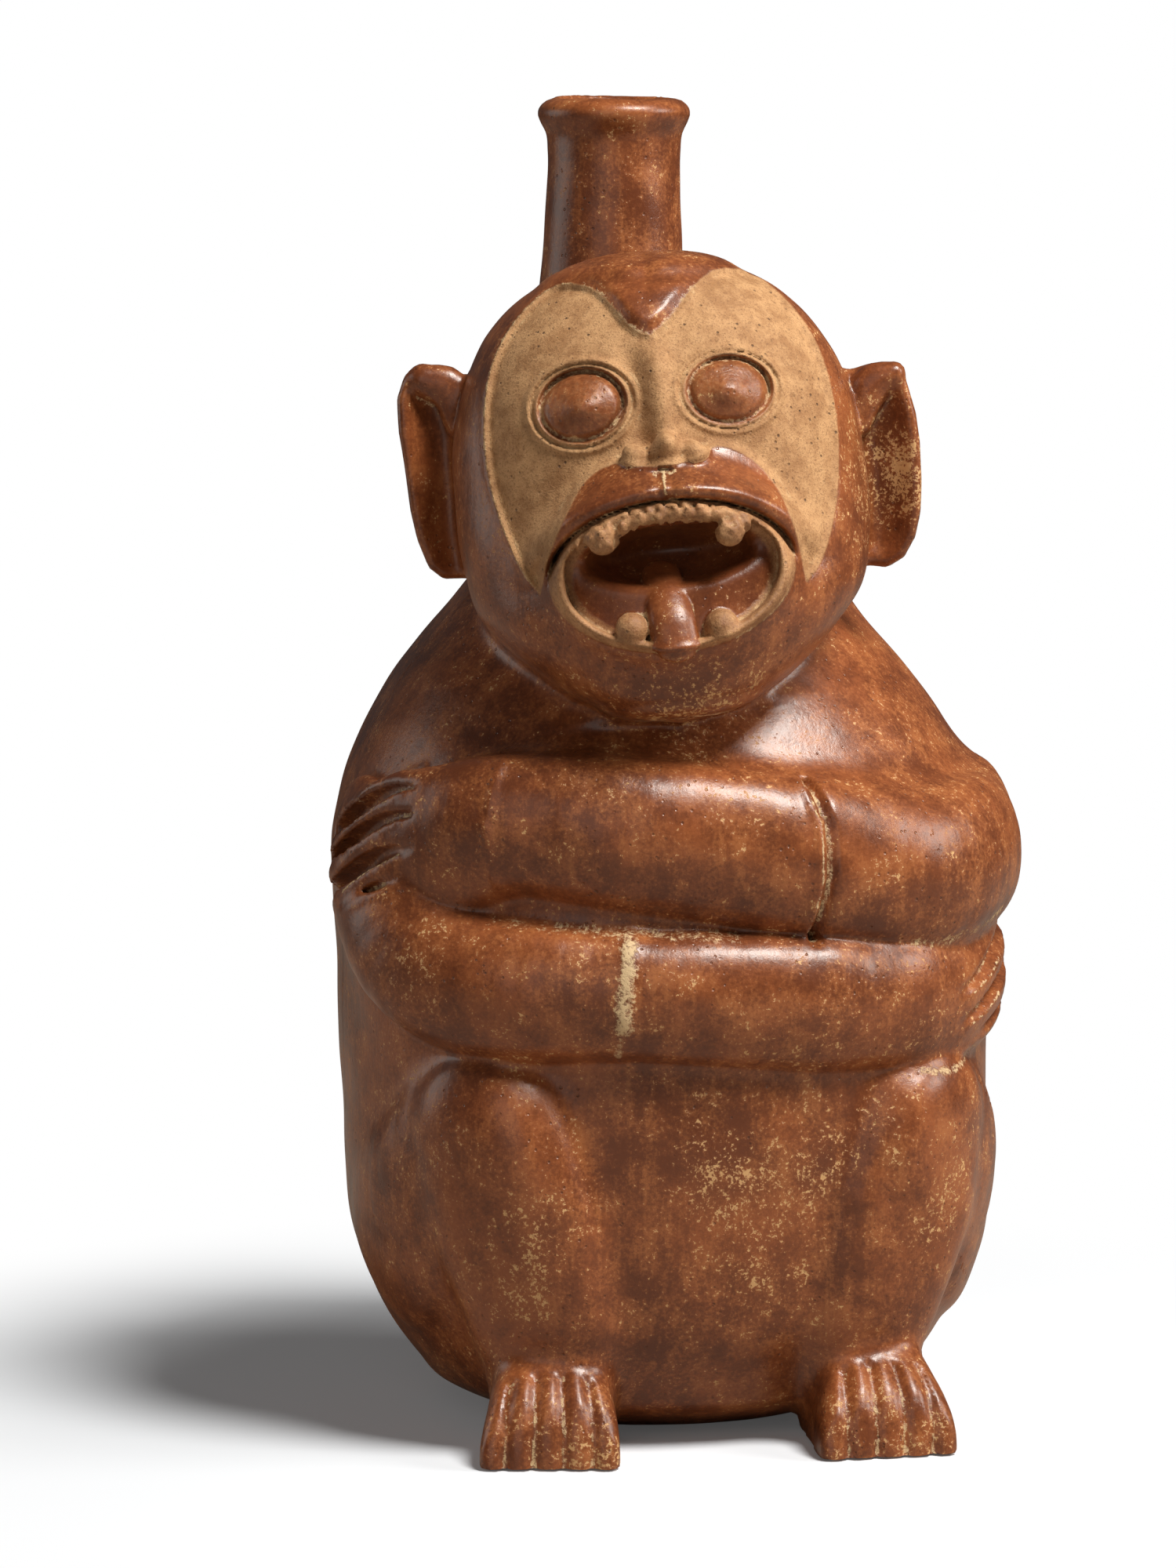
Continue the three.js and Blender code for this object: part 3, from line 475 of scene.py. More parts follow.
# The hands.
# Each hand is a flat pad that wraps round the side of the body. Wedges are cut out of it to
# leave the fingers, whose crests have worn pale.
right_hand = [
    [30, 0.476, 0.88, 0.84],
    [42, 0.472, 0.88, 0.76],
    [54, 0.474, 0.84, 0.6],
    [66, 0.488, 0.78, 0.42],
    [75, 0.5, 0.7, 0.34, 0.2],
]
left_hand = [
    [-36, 0.656, 0.9, 0.86],
    [-46, 0.642, 1.02, 0.82],
    [-56, 0.63, 1.06, 0.7],
    [-66, 0.614, 1.0, 0.52],
    [-77, 0.595, 0.9, 0.38, 0.15],
]
limb("right_arm", right_hand, ARM_SIZE, 1.6)
limb("left_arm", left_hand, ARM_SIZE, 1.2, 2.5, seam=0.3)


def gouge(*rows):
    """A wedge cut out between two fingers, along rows of [degrees round, share of height, half
    breadth, depth, and how far out of the body's skin it starts]"""
    stations = []
    for around, height, breadth, depth, proud in rows:
        place, out = on_body(around, height)
        stations.append((place + proud * out, out, breadth, depth))

    def cut(clay):
        part, form, _, _ = bar(clay, stations)
        clay.cut(part, form, 0.9)

    forms.append(cut)


for (root, second, third, tip), size in (
    ((0.7, 0.69, 0.668, 0.64), 0.9),
    ((0.673, 0.661, 0.638, 0.607), 0.8),
    ((0.638, 0.625, 0.6, 0.57), 1.15),
    ((0.607, 0.594, 0.57, 0.54), 0.55),
):
    gouge(
        [-51, root, 0.2, 0.3, 6.6],
        [-59, second, 1.0 * size, 1.7 * size, 5.8],
        [-67, third, 1.7 * size, 2.7 * size, 4.6],
        [-77, tip, 2.0 * size, 3.0 * size, 3.0],
    )
    crest = skin_course((-54, root - 0.009), (-60, second - 0.012), (-68, third - 0.014 * size))
    score(crest, 0.6, 0.3, 0.66 * size, 0.4)
score(skin_course((-57, 0.714), (-62, 0.705), (-66, 0.69), (-69, 0.67)), 0.7, 0.4, 0.62, 0.4)
for (root, second, third, tip), size in (
    ((0.478, 0.494, 0.51, 0.534), 1.0),
    ((0.442, 0.458, 0.474, 0.5), 1.0),
    ((0.414, 0.425, 0.436, 0.462), 0.7),
):
    gouge(
        [42, root, 0.2, 0.3, 6.2],
        [50, second, 1.0 * size, 1.5 * size, 5.2],
        [57, third, 1.4 * size, 2.2 * size, 4.2],
        [72, tip, 1.6 * size, 2.2 * size, 2.6],
    )
    crest = skin_course((45, root - 0.004), (51, second - 0.009), (59, third - 0.008))
    score(crest, 0.6, 0.3, 0.72 * size, 0.5)


# The head.
# A second mould makes the hollow head, which is luted to the body turned and tipped to the
# figure's right. Its own frame has the face towards -Y and the origin at its middle.
HEAD_CENTRE = np.array([-4, -14, 172], np.float32)
HEAD_HALF_HEIGHT = 41.5
HEAD_HALF_WIDTH = 37
HEAD_FRONT = 36
HEAD_BACK = 33
turn, tilt = math.radians(-10), math.radians(-6)
HEAD_AXES = np.array(
    [
        [math.cos(turn) * math.cos(tilt), -math.sin(turn), math.cos(turn) * math.sin(tilt)],
        [math.sin(turn) * math.cos(tilt), math.cos(turn), math.sin(turn) * math.sin(tilt)],
        [-math.sin(tilt), 0, math.cos(tilt)],
    ],
    np.float32,
)
head_shares = [
    [-1, 0.03, 0.8, -0.76],
    [-0.965, 0.25, 0.96, -0.5],
    [-0.88, 0.46, 1.07, -0.12],
    [-0.73, 0.7, 1.12, 0.34],
    [-0.54, 0.91, 1.1, 0.7],
    [-0.3, 0.99, 1.04, 0.92],
    [0, 1, 0.98, 1],
    [0.3, 0.965, 0.92, 0.985],
    [0.51, 0.88, 0.83, 0.88],
    [0.7, 0.74, 0.7, 0.74],
    [0.86, 0.53, 0.5, 0.53],
    [0.96, 0.29, 0.27, 0.29],
    [1, 0.03, 0.02, 0.03],
]
head_curve = eased(
    np.pad(head_shares, ((0, 0), (0, 1)))
    * [HEAD_HALF_HEIGHT, HEAD_HALF_WIDTH, HEAD_FRONT, HEAD_BACK, 0]
)


def in_head(x, y, z):
    """Places of the pot's frame as x, y and z of the head's frame"""
    dx, dy, dz = x - HEAD_CENTRE[0], y - HEAD_CENTRE[1], z - HEAD_CENTRE[2]
    return [dx * c[0] + dy * c[1] + dz * c[2] for c in HEAD_AXES.T]


def from_head(place):
    return HEAD_CENTRE + HEAD_AXES @ np.array(place, np.float32)


def around_head(clay, centre, reach):
    """The part of the clay near a place in the head's frame, with x, y and z in that frame"""
    middle = from_head(centre)
    part, places = clay.near(middle - reach, middle + reach)
    return part, in_head(*places)


def ball(x, y, z, centre, halves):
    """An egg-shaped form"""
    far = np.sqrt(sum(((v - c) / h) ** 2 for v, c, h in zip((x, y, z), centre, halves)))
    return ((far - 1) * min(halves)).astype(np.float32)


def pellet(clay, member, centre, halves, reach, blend, seam=0.0):
    """Adds an egg of clay to the head, worked out as far as reach from its centre"""
    part, places = around_head(clay, centre, reach)
    clay.lay(member, part, ball(*places, centre, halves), blend, seam)


MUZZLE_CENTRE = (0, -26, -14)
MUZZLE_HALVES = (24.5, 22, 23.5)


def head_form(clay):
    part, (x, y, z) = around_head(clay, (0, 0, 0), 50)
    if clay.depth[part].size == 0:
        return
    skull = evened(oval_form(x, y, z, head_curve), clay.step)
    clay.lay("head", part, skull, 4, 0.2)
    pellet(clay, "head", MUZZLE_CENTRE, MUZZLE_HALVES, 32, 2.2)


forms.append(head_form)


# The ears.
# Each is a flap luted to the side of the head, dished in front so that its rim stands forwards,
# with a thick lobe folded down from the top.
ear_outlines = {
    "right_ear": [
        (-32, 20), (-34.5, 21.3), (-37.7, 23.9), (-40.8, 24.5), (-43.8, 22.8), (-45.4, 19.2),
        (-45.8, 13), (-45.6, 5.5), (-45.3, -0.9), (-44.6, -6.5), (-43.2, -11.8), (-40.9, -14.3),
        (-37.8, -14.6), (-32, -13.5),
    ],
    "left_ear": [
        (33, 15), (36.1, 15.8), (40, 16.8), (44.2, 16.1), (46.3, 12.5), (47.4, 7), (47.6, 1.6),
        (47.1, -5), (46.2, -11), (44.9, -15.4), (42.5, -18.8), (39.2, -20.4), (35, -19.5),
        (33, -18),
    ],
}
ear_lobes = {
    "right_ear": [(-40.5, 22, 2.6), (-36, 19.5, 3.6), (-35.8, 13, 1.6)],
    "left_ear": [(44, 14.5, 2.2), (39.5, 12.5, 3.6), (37.5, 5.5, 1.5)],
}
EAR_THICKNESS = 4.6
EAR_ROUNDING = 1.9
EAR_SET = 4  # behind the head's middle


def outline_depth(x, z, outline):
    """The distance from a closed outline, negative inside it"""
    best = np.full(np.broadcast(x, z).shape, 1e9, np.float32)
    inside = np.zeros(best.shape, bool)
    for (x0, z0), (x1, z1) in zip(outline, [*outline[1:], outline[0]]):
        dx, dz = x1 - x0, z1 - z0
        t = np.clip(((x - x0) * dx + (z - z0) * dz) / (dx * dx + dz * dz), 0, 1)
        best = np.minimum(best, (x - x0 - t * dx) ** 2 + (z - z0 - t * dz) ** 2)
        if z0 != z1:
            crosses = (z0 > z) != (z1 > z)
            inside ^= crosses & (x < x0 + (z - z0) * dx / dz)
    return np.where(inside, -1, 1) * np.sqrt(best)


def ear_form(clay):
    for member, outline in ear_outlines.items():
        spots = np.array(outline)
        middle = (*((spots.max(0) + spots.min(0)) / 2),)
        part, (x, y, z) = around_head(clay, (middle[0], EAR_SET, middle[1]), 26)
        if clay.depth[part].size == 0:
            continue
        edge = outline_depth(x, z, outline)
        bend = EAR_SET - 3.2 * smooth(np.abs(x), 37, 47)
        dish = 1.2 * smooth(-edge, 0.8, 4.8)
        front = bend - EAR_THICKNESS / 2 + dish - y
        back = y - bend - EAR_THICKNESS / 2
        a, b = edge + EAR_ROUNDING, np.maximum(front, back) + EAR_ROUNDING
        flap = np.minimum(np.maximum(a, b), 0) + np.hypot(np.maximum(a, 0), np.maximum(b, 0))
        clay.lay(member, part, (flap - EAR_ROUNDING).astype(np.float32), 2.5, 0.3)
        out = Vector(HEAD_AXES @ np.array((0, -1, 0), np.float32))
        lobe = [
            (Vector(from_head((x, EAR_SET - 3.2, z))), out, size, 2.6)
            for x, z, size in ear_lobes[member]
        ]
        part, form, _, _ = bar(clay, lobe)
        clay.lay(member, part, form, 1.2)


forms.append(ear_form)


# The face.
# Two patches of bare buff clay, sunk a little below the burnished cap, meet over the nose under
# a raised peak. Each eye is a pellet inside two rings, and the nose is three small lobes.
PATCH_TIP = (0.8, 27.1)  # under the raised peak, seen from the front of the head
RIGHT_END = (-23.1, -15.9)  # beside the mouth
LEFT_END = (23.6, -18.5)
right_edge = [
    PATCH_TIP, (-0.4, 27.4), (-3, 29.4), (-5.8, 33.4), (-8.2, 35.7), (-13.3, 37.1), (-20, 33.8),
    (-26.9, 25.6), (-30.2, 11.6), (-28.4, -4.3), (-25.6, -12), RIGHT_END,
]
muzzle_edge = [
    RIGHT_END, (-20.8, -9), (-16.1, -0.6), (-12.6, 3.7), (-7.6, 5.8), (-3.5, 5.1), (1.2, 4.7),
    (6.4, 5.4), (10.2, 6.9), (15.1, 4.8), (19.7, -0.6), (22.3, -8.3), LEFT_END,
]
left_edge = [
    LEFT_END, (25.8, -16.5), (29, -10.3), (31.6, 0), (32.1, 10.5), (29.7, 23.1), (25.3, 30.4),
    (18.9, 35.8), (13.3, 36.7), (9.1, 34.2), (3.9, 29), PATCH_TIP,
]


def drawn(spots):
    """Points a short way apart on a smooth line through spots, without the last of them"""
    spots = np.array(spots, float)
    along = np.append(0, np.hypot(*np.diff(spots, axis=0).T).cumsum())
    return eased(np.column_stack([along, spots]))[1][::15].tolist()


patch_outline = [*drawn(right_edge), *drawn(muzzle_edge), *drawn(left_edge)]


def head_points(points):
    return in_head(points[:, 0], points[:, 1], points[:, 2])


def patch_edge(points):
    """The distance from the outline of the bare patches, negative inside them"""
    x, y, z = head_points(points)
    edge = np.full(len(points), 99.0, np.float32)
    ahead = (y < -4) & (np.abs(x) < 40) & (z > -26)
    edge[ahead] = outline_depth(x[ahead], z[ahead], patch_outline)
    return edge


def ring(out, at, width):
    """1 where out is at a value, falling away to each side within about the width"""
    return np.exp(-(((out - at) / width) ** 2))


def patch_touch(points):
    """Sinks the patches, with a thin lip along the right one's outer edge, the raised peak
    above, and the bridge of the nose with a hollow beside it"""
    x, y, z = head_points(points)
    edge = patch_edge(points)
    outer = smooth(-x, 13, 22) * (z > -14) * ((x < -24) | (z > 12))
    peak = np.exp(-(((x + 0.5) / 11) ** 2)) * smooth(z, 25, 31)
    raised = -0.8 * (1 - smooth(edge, -1.4, 0.2))
    raised += 0.35 * outer * ring(edge, 0.1, 0.7)
    raised += 1.6 * peak * smooth(edge, -0.8, 2.6) * (1 - smooth(edge, 4, 15))
    middle = 1.9 - 0.05 * (z - 8)
    bridge = 1.7 * ring(x, middle, 2.7) - 0.8 * ring(x, middle - 4.4, 1.9)
    return raised + bridge * smooth(z, 6, 10) * (1 - smooth(z, 22, 28)) * (y < -20)


touches.append(patch_touch)


def edge_mark(strength, inward, width, where):
    """Deposit along the patches' edge, where a test of the head's x and z allows it"""

    def mark(points):
        x, _, z = head_points(points)
        return strength * ring(patch_edge(points), -inward, width) * where(x, z)

    marks.append(mark)


edge_mark(0.66, 0, 0.4, lambda x, z: (x < -12) & ((x < -24) | (z > 12)))
edge_mark(0.6, 0, 1.3, lambda x, z: (np.abs(x) < 10) & (z > 24))
edge_mark(0.6, 0.6, 0.9, lambda x, z: (np.abs(x + 1) < 11) & (z > 24))

eyes = [
    dict(centre=(-12.4, 16.1), slant=math.radians(9), halves=(9.9, 7.9), crisp=1.0),
    dict(centre=(13.6, 16.2), slant=math.radians(-8), halves=(9.6, 7.4), crisp=0.75),
]


def eye_place(points, eye):
    """Places across and up an eye, along its slant, and how far out they are in its rings"""
    x, y, z = head_points(points)
    dx, dz = x - eye["centre"][0], z - eye["centre"][1]
    c, s = math.cos(eye["slant"]), math.sin(eye["slant"])
    u, v = dx * c + dz * s, dz * c - dx * s
    out = np.sqrt((u / eye["halves"][0]) ** 2 + (v / eye["halves"][1]) ** 2)
    return u, v, np.where(y < -4, out, 9)


def eye_touch(points):
    raised = np.zeros(len(points), np.float32)
    for eye in eyes:
        u, v, out = eye_place(points, eye)
        upper = smooth(v / 8 + u / 14, -0.5, 0.9)
        rings = 0.7 * ring(out, 0.98, 0.055) - 0.5 * ring(out, 0.9, 0.045)
        rings += 0.8 * ring(out, 0.82, 0.05) - (0.8 + 1.6 * upper) * ring(out, 0.73, 0.06)
        bulge = np.sqrt(np.maximum(1 - (out / 0.74) ** 2, 0))
        raised += eye["crisp"] * rings + 1.5 * bulge + 1.6 * np.exp(-((out / 0.33) ** 2))
    return raised


touches.append(eye_touch)


def nose_form(clay):
    for centre, halves in (
        ((-4.1, -35.3, 7.0), (3.4, 4.2, 3.2)),
        ((1.2, -35.8, 6.6), (4.8, 4.6, 3.4)),
        ((6.0, -35.2, 6.4), (3.1, 4.2, 3.1)),
    ):
        pellet(clay, "nose", centre, halves, 8, 0.9, 0.5)


forms.append(nose_form)


# The mouth.
# An oval opening is cut in the muzzle, with a rim of bare clay, and slopes back over a smooth
# floor to a deep hollow. A philtrum is pinched over it.
MOUTH_X = 0.3
MOUTH_Z = -14.2
MOUTH_HALF_WIDTH = 21.6
MOUTH_HALF_HEIGHT = 13.2
MOUTH_OPEN = 0.88  # the share of the oval inside the rim
PHILTRUM_X = 0.6


def mouth_place(points):
    """How far out a place is in the mouth's oval, seen from the front, and its angle there"""
    x, y, z = head_points(points)
    u, v = (x - MOUTH_X) / MOUTH_HALF_WIDTH, (z - MOUTH_Z) / MOUTH_HALF_HEIGHT
    return np.where(y < -20, np.hypot(u, v), 9), np.arctan2(v, u)


def mouth_form(clay):
    part, (x, y, z) = around_head(clay, (0, -44, -14), 32)
    if clay.depth[part].size == 0:
        return
    out = np.hypot((x - MOUTH_X) / MOUTH_HALF_WIDTH, (z - MOUTH_Z) / MOUTH_HALF_HEIGHT)
    floor = 2.6 + 4.6 * np.clip(1 - (out / MOUTH_OPEN) ** 2, 0, 1)
    below = ball(x, y, z, MUZZLE_CENTRE, MUZZLE_HALVES) + floor
    dish = np.maximum((out - MOUTH_OPEN) * MOUTH_HALF_HEIGHT, np.maximum(-below, y + 30))
    clay.cut(part, dish.astype(np.float32), 1.2)
    clay.cut(part, ball(x, y, z, (MOUTH_X, -42, MOUTH_Z + 3.2), (16, 17, 5.2)), 2.0)


forms.append(mouth_form)


def mouth_touch(points):
    """The rim's roll, the groove between it and the muzzle above, and the philtrum"""
    x, y, z = head_points(points)
    out, angle = mouth_place(points)
    upper = smooth(np.sin(angle), -0.1, 0.35)
    raised = 0.6 * ring(out, 0.94, 0.05) * (1 - upper)
    raised -= (0.35 + 1.3 * upper) * ring(out, 0.995, 0.03)
    raised += 1.7 * upper * ring(out, 1.17, 0.12)
    philtrum = ring(x, PHILTRUM_X, 0.7) * smooth(z, -0.5, 0.8) * (1 - smooth(z, 3, 4.6))
    pinched = 0.5 * philtrum - 0.9 * ring(x, PHILTRUM_X, 2.2) * upper
    raised += pinched * ((out > 1.04) & (out < 1.4))
    return np.where(y < -20, raised, 0).astype(np.float32)


def philtrum_mark(points):
    x, y, z = head_points(points)
    return 0.8 * ring(x, PHILTRUM_X, 0.55) * (z > -0.2) * (z < 4.4) * (y < -30)


touches.append(mouth_touch)
marks.append(philtrum_mark)


# The teeth and the tongue.
# A band of clay under the upper lip is slit into teeth, pellets make four canines, and a tongue
# hangs over the lower lip between two grooves.
def head_bar(clay, member, places, facing, blend):
    """A bar along places in the head's frame, each with its half breadth and depth"""
    out = Vector(HEAD_AXES @ np.array(facing, np.float32))
    stations = [(Vector(from_head(p[:3])), out, p[3], p[4]) for p in places]
    part, form, _, _ = bar(clay, stations)
    clay.lay(member, part, form, blend)


TOOTH_SLITS = (-6.1, -3.3, 0.1, 2.9, 5.4, 7.9)  # across the mouth
TOOTH_START = 133  # degrees round the mouth, from the figure's left
TOOTH_SWEEP = 86
canines = {
    "upper_canines": ((2.8, 3.0, 2.8), ((-11.2, -41.9, -6.6), (10.9, -41.9, -7.6))),
    "lower_canines": ((2.9, 3.2, 2.9), ((-7.8, -42.0, -22.9), (7.9, -42.0, -23.9))),
}
tongue = [
    (-1.7, -34.0, -14.4, 3.3, 1.8),
    (-1.1, -39.4, -18.0, 3.6, 2.1),
    (-0.6, -42.6, -21.8, 3.9, 2.3),
    (-0.2, -44.0, -25.2, 4.0, 2.3),
]


def teeth_form(clay):
    band = []
    for k in range(9):
        angle = math.radians(TOOTH_START - TOOTH_SWEEP * k / 8)
        x = MOUTH_X + 0.86 * MOUTH_HALF_WIDTH * math.cos(angle)
        z = MOUTH_Z + 0.83 * MOUTH_HALF_HEIGHT * math.sin(angle)
        band.append((x, -42.6 + 0.012 * x * x, z, 1.9, 2.1))
    head_bar(clay, "teeth", band, (0, -1, 0), 0.5)
    for member, (halves, centres) in canines.items():
        for centre in centres:
            pellet(clay, member, centre, halves, 7, 0.5)
    head_bar(clay, "tongue", tongue, (0, -0.74, 0.67), 0.4)


forms.append(teeth_form)


def slit_touch(points):
    x, y, z = head_points(points)
    out, _ = mouth_place(points)
    over = (z > MOUTH_Z + 6) & (y < -40) & (out < 0.97)
    depth = sum(ring(x, at, 0.3) for at in TOOTH_SLITS)
    return np.where(over, 0.35 * wander(points, 2.2, 5) - 0.5 * depth, 0).astype(np.float32)


touches.append(slit_touch)


# The spout.
# A tube rolled from a slab rises behind the head with a slight lean. Its lip is a coil, thumbed
# down outside and eased into the bore.
SPOUT_TOP = 240
SPOUT_ROOT = 118
SPOUT_BACK = 40
SPOUT_ASIDE = 2.5
SPOUT_LEAN = 2.4
BORE_RADIUS = 8.6
spout_curve = eased(
    [
        [SPOUT_ROOT, 18, 1],
        [141, 17, 0.96],
        [160, 16, 0.86],
        [178, 14.9, 0.7],
        [197, 13.9, 0.48],
        [211, 13.1, 0.3],
        [223, 12.6, 0.12],
        [230, 12.5, 0.04],
        [233.6, 12.9, 0],
        [235.6, 13.9, 0],
        [237.2, 14.3, 0],
        [238.7, 13.6, 0],
        [239.5, 12.5, 0],
        [SPOUT_TOP, 10.9, 0],
    ]
)  # height, radius and share of the lean


def spout_form(clay):
    low, high = (-28, 16, SPOUT_ROOT - 6), (24, 64, SPOUT_TOP + 4)
    part, (x, y, z) = clay.near(low, high)
    if clay.depth[part].size == 0:
        return
    places, values = spout_curve
    radius, lean = (np.interp(z, places, values[:, i]) for i in range(2))
    away = np.hypot(x + SPOUT_ASIDE + lean * SPOUT_LEAN, y - SPOUT_BACK)
    tube = np.maximum(away - radius, np.maximum(z - SPOUT_TOP, SPOUT_ROOT - z))
    clay.lay("spout", part, tube.astype(np.float32), 6, 0.3)
    ease = 1.8 * np.exp(-(((z - SPOUT_TOP) / 1.6) ** 2))
    bore = np.maximum(away - BORE_RADIUS - ease, SPOUT_ROOT - 4 - z)
    clay.cut(part, bore.astype(np.float32), 0.8)


forms.append(spout_form)


# The skins.
# Body, head, limbs and spout were smoothed into one another before firing. Each member's skin is
# meshed by itself, from a block that is sampled as finely as the modelling there needs.
COARSE = 1.0
MM = 0.001


def sampled(clay, values, points):
    """Values of a block at places between its samples"""
    at = (points - clay.low) / clay.step
    low = np.clip(np.floor(at).astype(int), 0, np.array(values.shape) - 2)
    t = (at - low).astype(np.float32)
    total = 0
    for corner in np.ndindex(2, 2, 2):
        weight = np.prod(np.where(corner, t, 1 - t), axis=1)
        total = total + weight * values[tuple((low + corner).T)]
    return total


def block(low, high, step):
    """A finished block of clay, with its slopes and its hollows"""
    clay = Clay(low, high, step * COARSE)
    for form in forms:
        form(clay)
    clay.dress(touches)
    clay.slopes = np.gradient(clay.depth, clay.step)
    bend = sum(np.gradient(g, clay.step, axis=i) for i, g in enumerate(clay.slopes))
    clay.hollows = np.clip(-bend, 0, 2)
    return clay


# Places where the slip has worn through to the pale clay, with their radius and strength
worn_places = [
    (on_body(0, 0.3), 9, 0.9), (on_body(-30, 0.244), 8, 0.9), (on_body(-45, 0.31), 7, 0.8),
    (on_body(37, 0.232), 8, 0.9), (on_body(16, 0.304), 6, 0.7), (on_body(-33, 0.184), 8, 0.6),
    (on_body(5, 0.2), 9, 0.6), (on_body(-47, 0.516), 8, 0.7), (on_body(-33, 0.456), 7, 0.7),
    (on_body(32, 0.452), 7, 0.8), (on_body(16, 0.452), 6, 0.6), (on_body(46, 0.31), 8, 0.6),
    (on_body(-50, 0.64), 7, 0.5), (on_body(-20, 0.5), 6, 0.4), (on_body(28, 0.35), 6, 0.6),
    (on_body(-38, 0.1), 8, 0.6), (on_body(36, 0.1), 8, 0.6), (on_body(-110, 0.5), 22, 0.4),
    (on_body(150, 0.3), 24, 0.5), (on_body(105, 0.6), 18, 0.4), (on_body(-160, 0.2), 16, 0.5),
]


def worn_share(points):
    share = np.zeros(len(points), np.float32)
    for (place, _), radius, strength in worn_places:
        away = ((points - np.array(place, np.float32)) ** 2).sum(1)
        share += strength * np.exp(-away / radius**2)
    x, y, z = head_points(points)
    chin = np.exp(-((x - 1) ** 2 + (z + 36) ** 2) / 90) * (y < 0)
    ear = np.exp(-((x - 44) ** 2 + (z + 4) ** 2) / 120)
    feet = smooth(-points[:, 1], 50, 58) * (1 - smooth(points[:, 2], 12, 24))
    return np.clip(share + 0.7 * chin + ear + 0.45 * feet, 0, 1)


def bare_share(points):
    """1 where the clay was never slipped: the face's patches and the mouth's rim"""
    x, y, z = head_points(points)
    out, _ = mouth_place(points)
    share = 1 - smooth(patch_edge(points), -0.4, 0.5)
    for eye in eyes:
        share *= 0.3 + 0.7 * smooth(eye_place(points, eye)[2], 0.76, 0.92)
    rim = smooth(out, 0.76, 0.84) * (1 - smooth(out, 0.99, 1.03)) * (y < -30)
    return np.maximum(share, 0.62 * rim)


def skin(clay, member, name, nodes, inside=None, bare=None):
    """Meshes one member of a block, cut by a further form if need be, and notes what its
    material reads at each vertex"""
    field = clay.parted(member)
    if inside is not None:
        field = np.maximum(field, inside(*np.ix_(*clay.axes)))
    edge = np.float32(3 * clay.step)
    field = np.clip(field, -edge, edge).astype(np.float32)
    field[[0, -1]] = field[:, [0, -1]] = field[:, :, [0, -1]] = edge
    grid = openvdb.FloatGrid(float(edge))
    grid.copyFromArray(field, tolerance=1e-6)
    points, quads = grid.convertToQuads(0.0)
    points = (clay.low + points * clay.step).astype(np.float32)
    mesh = bpy.data.meshes.new(name)
    mesh.vertices.add(len(points))
    mesh.vertices.foreach_set("co", (points * MM).astype(np.float32).ravel())
    mesh.loops.add(quads.size)
    mesh.loops.foreach_set("vertex_index", quads.astype(np.int32).ravel())
    mesh.polygons.add(len(quads))
    mesh.polygons.foreach_set("loop_start", np.arange(0, quads.size, 4, dtype=np.int32))
    mesh.update(calc_edges=True)
    mesh.shade_smooth()
    out = np.stack([sampled(clay, slope, points) for slope in clay.slopes], axis=1)
    out /= np.maximum(np.linalg.norm(out, axis=1, keepdims=True), 1e-6)
    mesh.normals_split_custom_set_from_vertices(out.tolist())

    deposit = sampled(clay, clay.seam, points)
    deposit = np.maximum(deposit, 0.62 * smooth(sampled(clay, clay.hollows, points), 0.35, 1.1))
    for mark in marks:
        deposit = np.maximum(deposit, mark(points))
    # painted shade: the inside of the mouth's opening is noted for a darker colour, as its shadow
    painted_mouth_shade = 1 - smooth(mouth_place(points)[0], 0.72, 0.84)
    notes = {
        "deposit": deposit,
        "worn": worn_share(points),
        "bare": np.full(len(points), bare) if bare is not None else bare_share(points),
        "inside": painted_mouth_shade,
    }
    for note, values in notes.items():
        layer = mesh.attributes.new(note, "FLOAT", "POINT")
        layer.data.foreach_set("value", np.ascontiguousarray(values, np.float32))
    piece = bpy.data.objects.new(name, mesh)
    bpy.context.collection.objects.link(piece)
    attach(piece, "root")
    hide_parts(*nodes)
    skins.append(piece)


BODY_SEAM = 6  # behind the pot's middle, where the front half ends
BACK_LAP = 1.5  # how far the back half runs inside the front one
FACE_PLANE = -5  # of the head's frame, which parts the face from the crown
CROWN_LAP = 1.2
skins = []

trunk = block((-70, -66, -2), (70, 22, 164), 0.8)
skin(trunk, "body", "body_front_skin", ["body_front", "base_disc"],
     lambda x, y, z: np.maximum(-z, y - BODY_SEAM))
for side in ("left", "right"):
    arm_nodes = [part + "_" + side for part in ("upper_arm", "forearm", "hand")]
    skin(trunk, side + "_arm", side + "_arm_skin", arm_nodes)
    skin(trunk, side + "_leg", side + "_leg_skin", ["leg_" + side], lambda x, y, z: -z)
    skin(trunk, side + "_foot", side + "_foot_skin", ["foot_" + side], lambda x, y, z: -z)

back = block((-70, 2, -2), (70, 64, 190), 1.0)
skin(back, "body", "body_back_skin", ["body_back"],
     lambda x, y, z: np.maximum(-z, BODY_SEAM - BACK_LAP - y))

crown = block((-60, -30, 122), (50, 34, 218), 0.7)
skin(crown, "head", "head_crown_skin", ["head_crown"],
     lambda x, y, z: FACE_PLANE - in_head(x, y, z)[1] - CROWN_LAP)
skin(crown, "left_ear", "left_ear_skin", ["ear_left"])
skin(crown, "right_ear", "right_ear_skin", ["ear_right"])

face = block((-50, -68, 124), (42, 2, 218), 0.45)
skin(face, "head", "head_face_skin",
     ["head_face", "brow_peak", "eyelid_left", "eyelid_right", "eyeball_left", "eyeball_right",
      "lip_rim", "mouth_cup"],
     lambda x, y, z: in_head(x, y, z)[1] - FACE_PLANE)
skin(face, "nose", "nose_skin", ["nose"], bare=1.0)
skin(face, "teeth", "upper_teeth_skin", ["upper_teeth"], bare=0.6)
for side, sign in (("left", 1), ("right", -1)):
    for jaw in ("upper", "lower"):
        name = jaw + "_canine_" + side
        skin(face, jaw + "_canines", name + "_skin", [name],
             lambda x, y, z: -sign * in_head(x, y, z)[0], bare=0.6)
skin(face, "tongue", "tongue_skin", ["tongue"], bare=0.0)

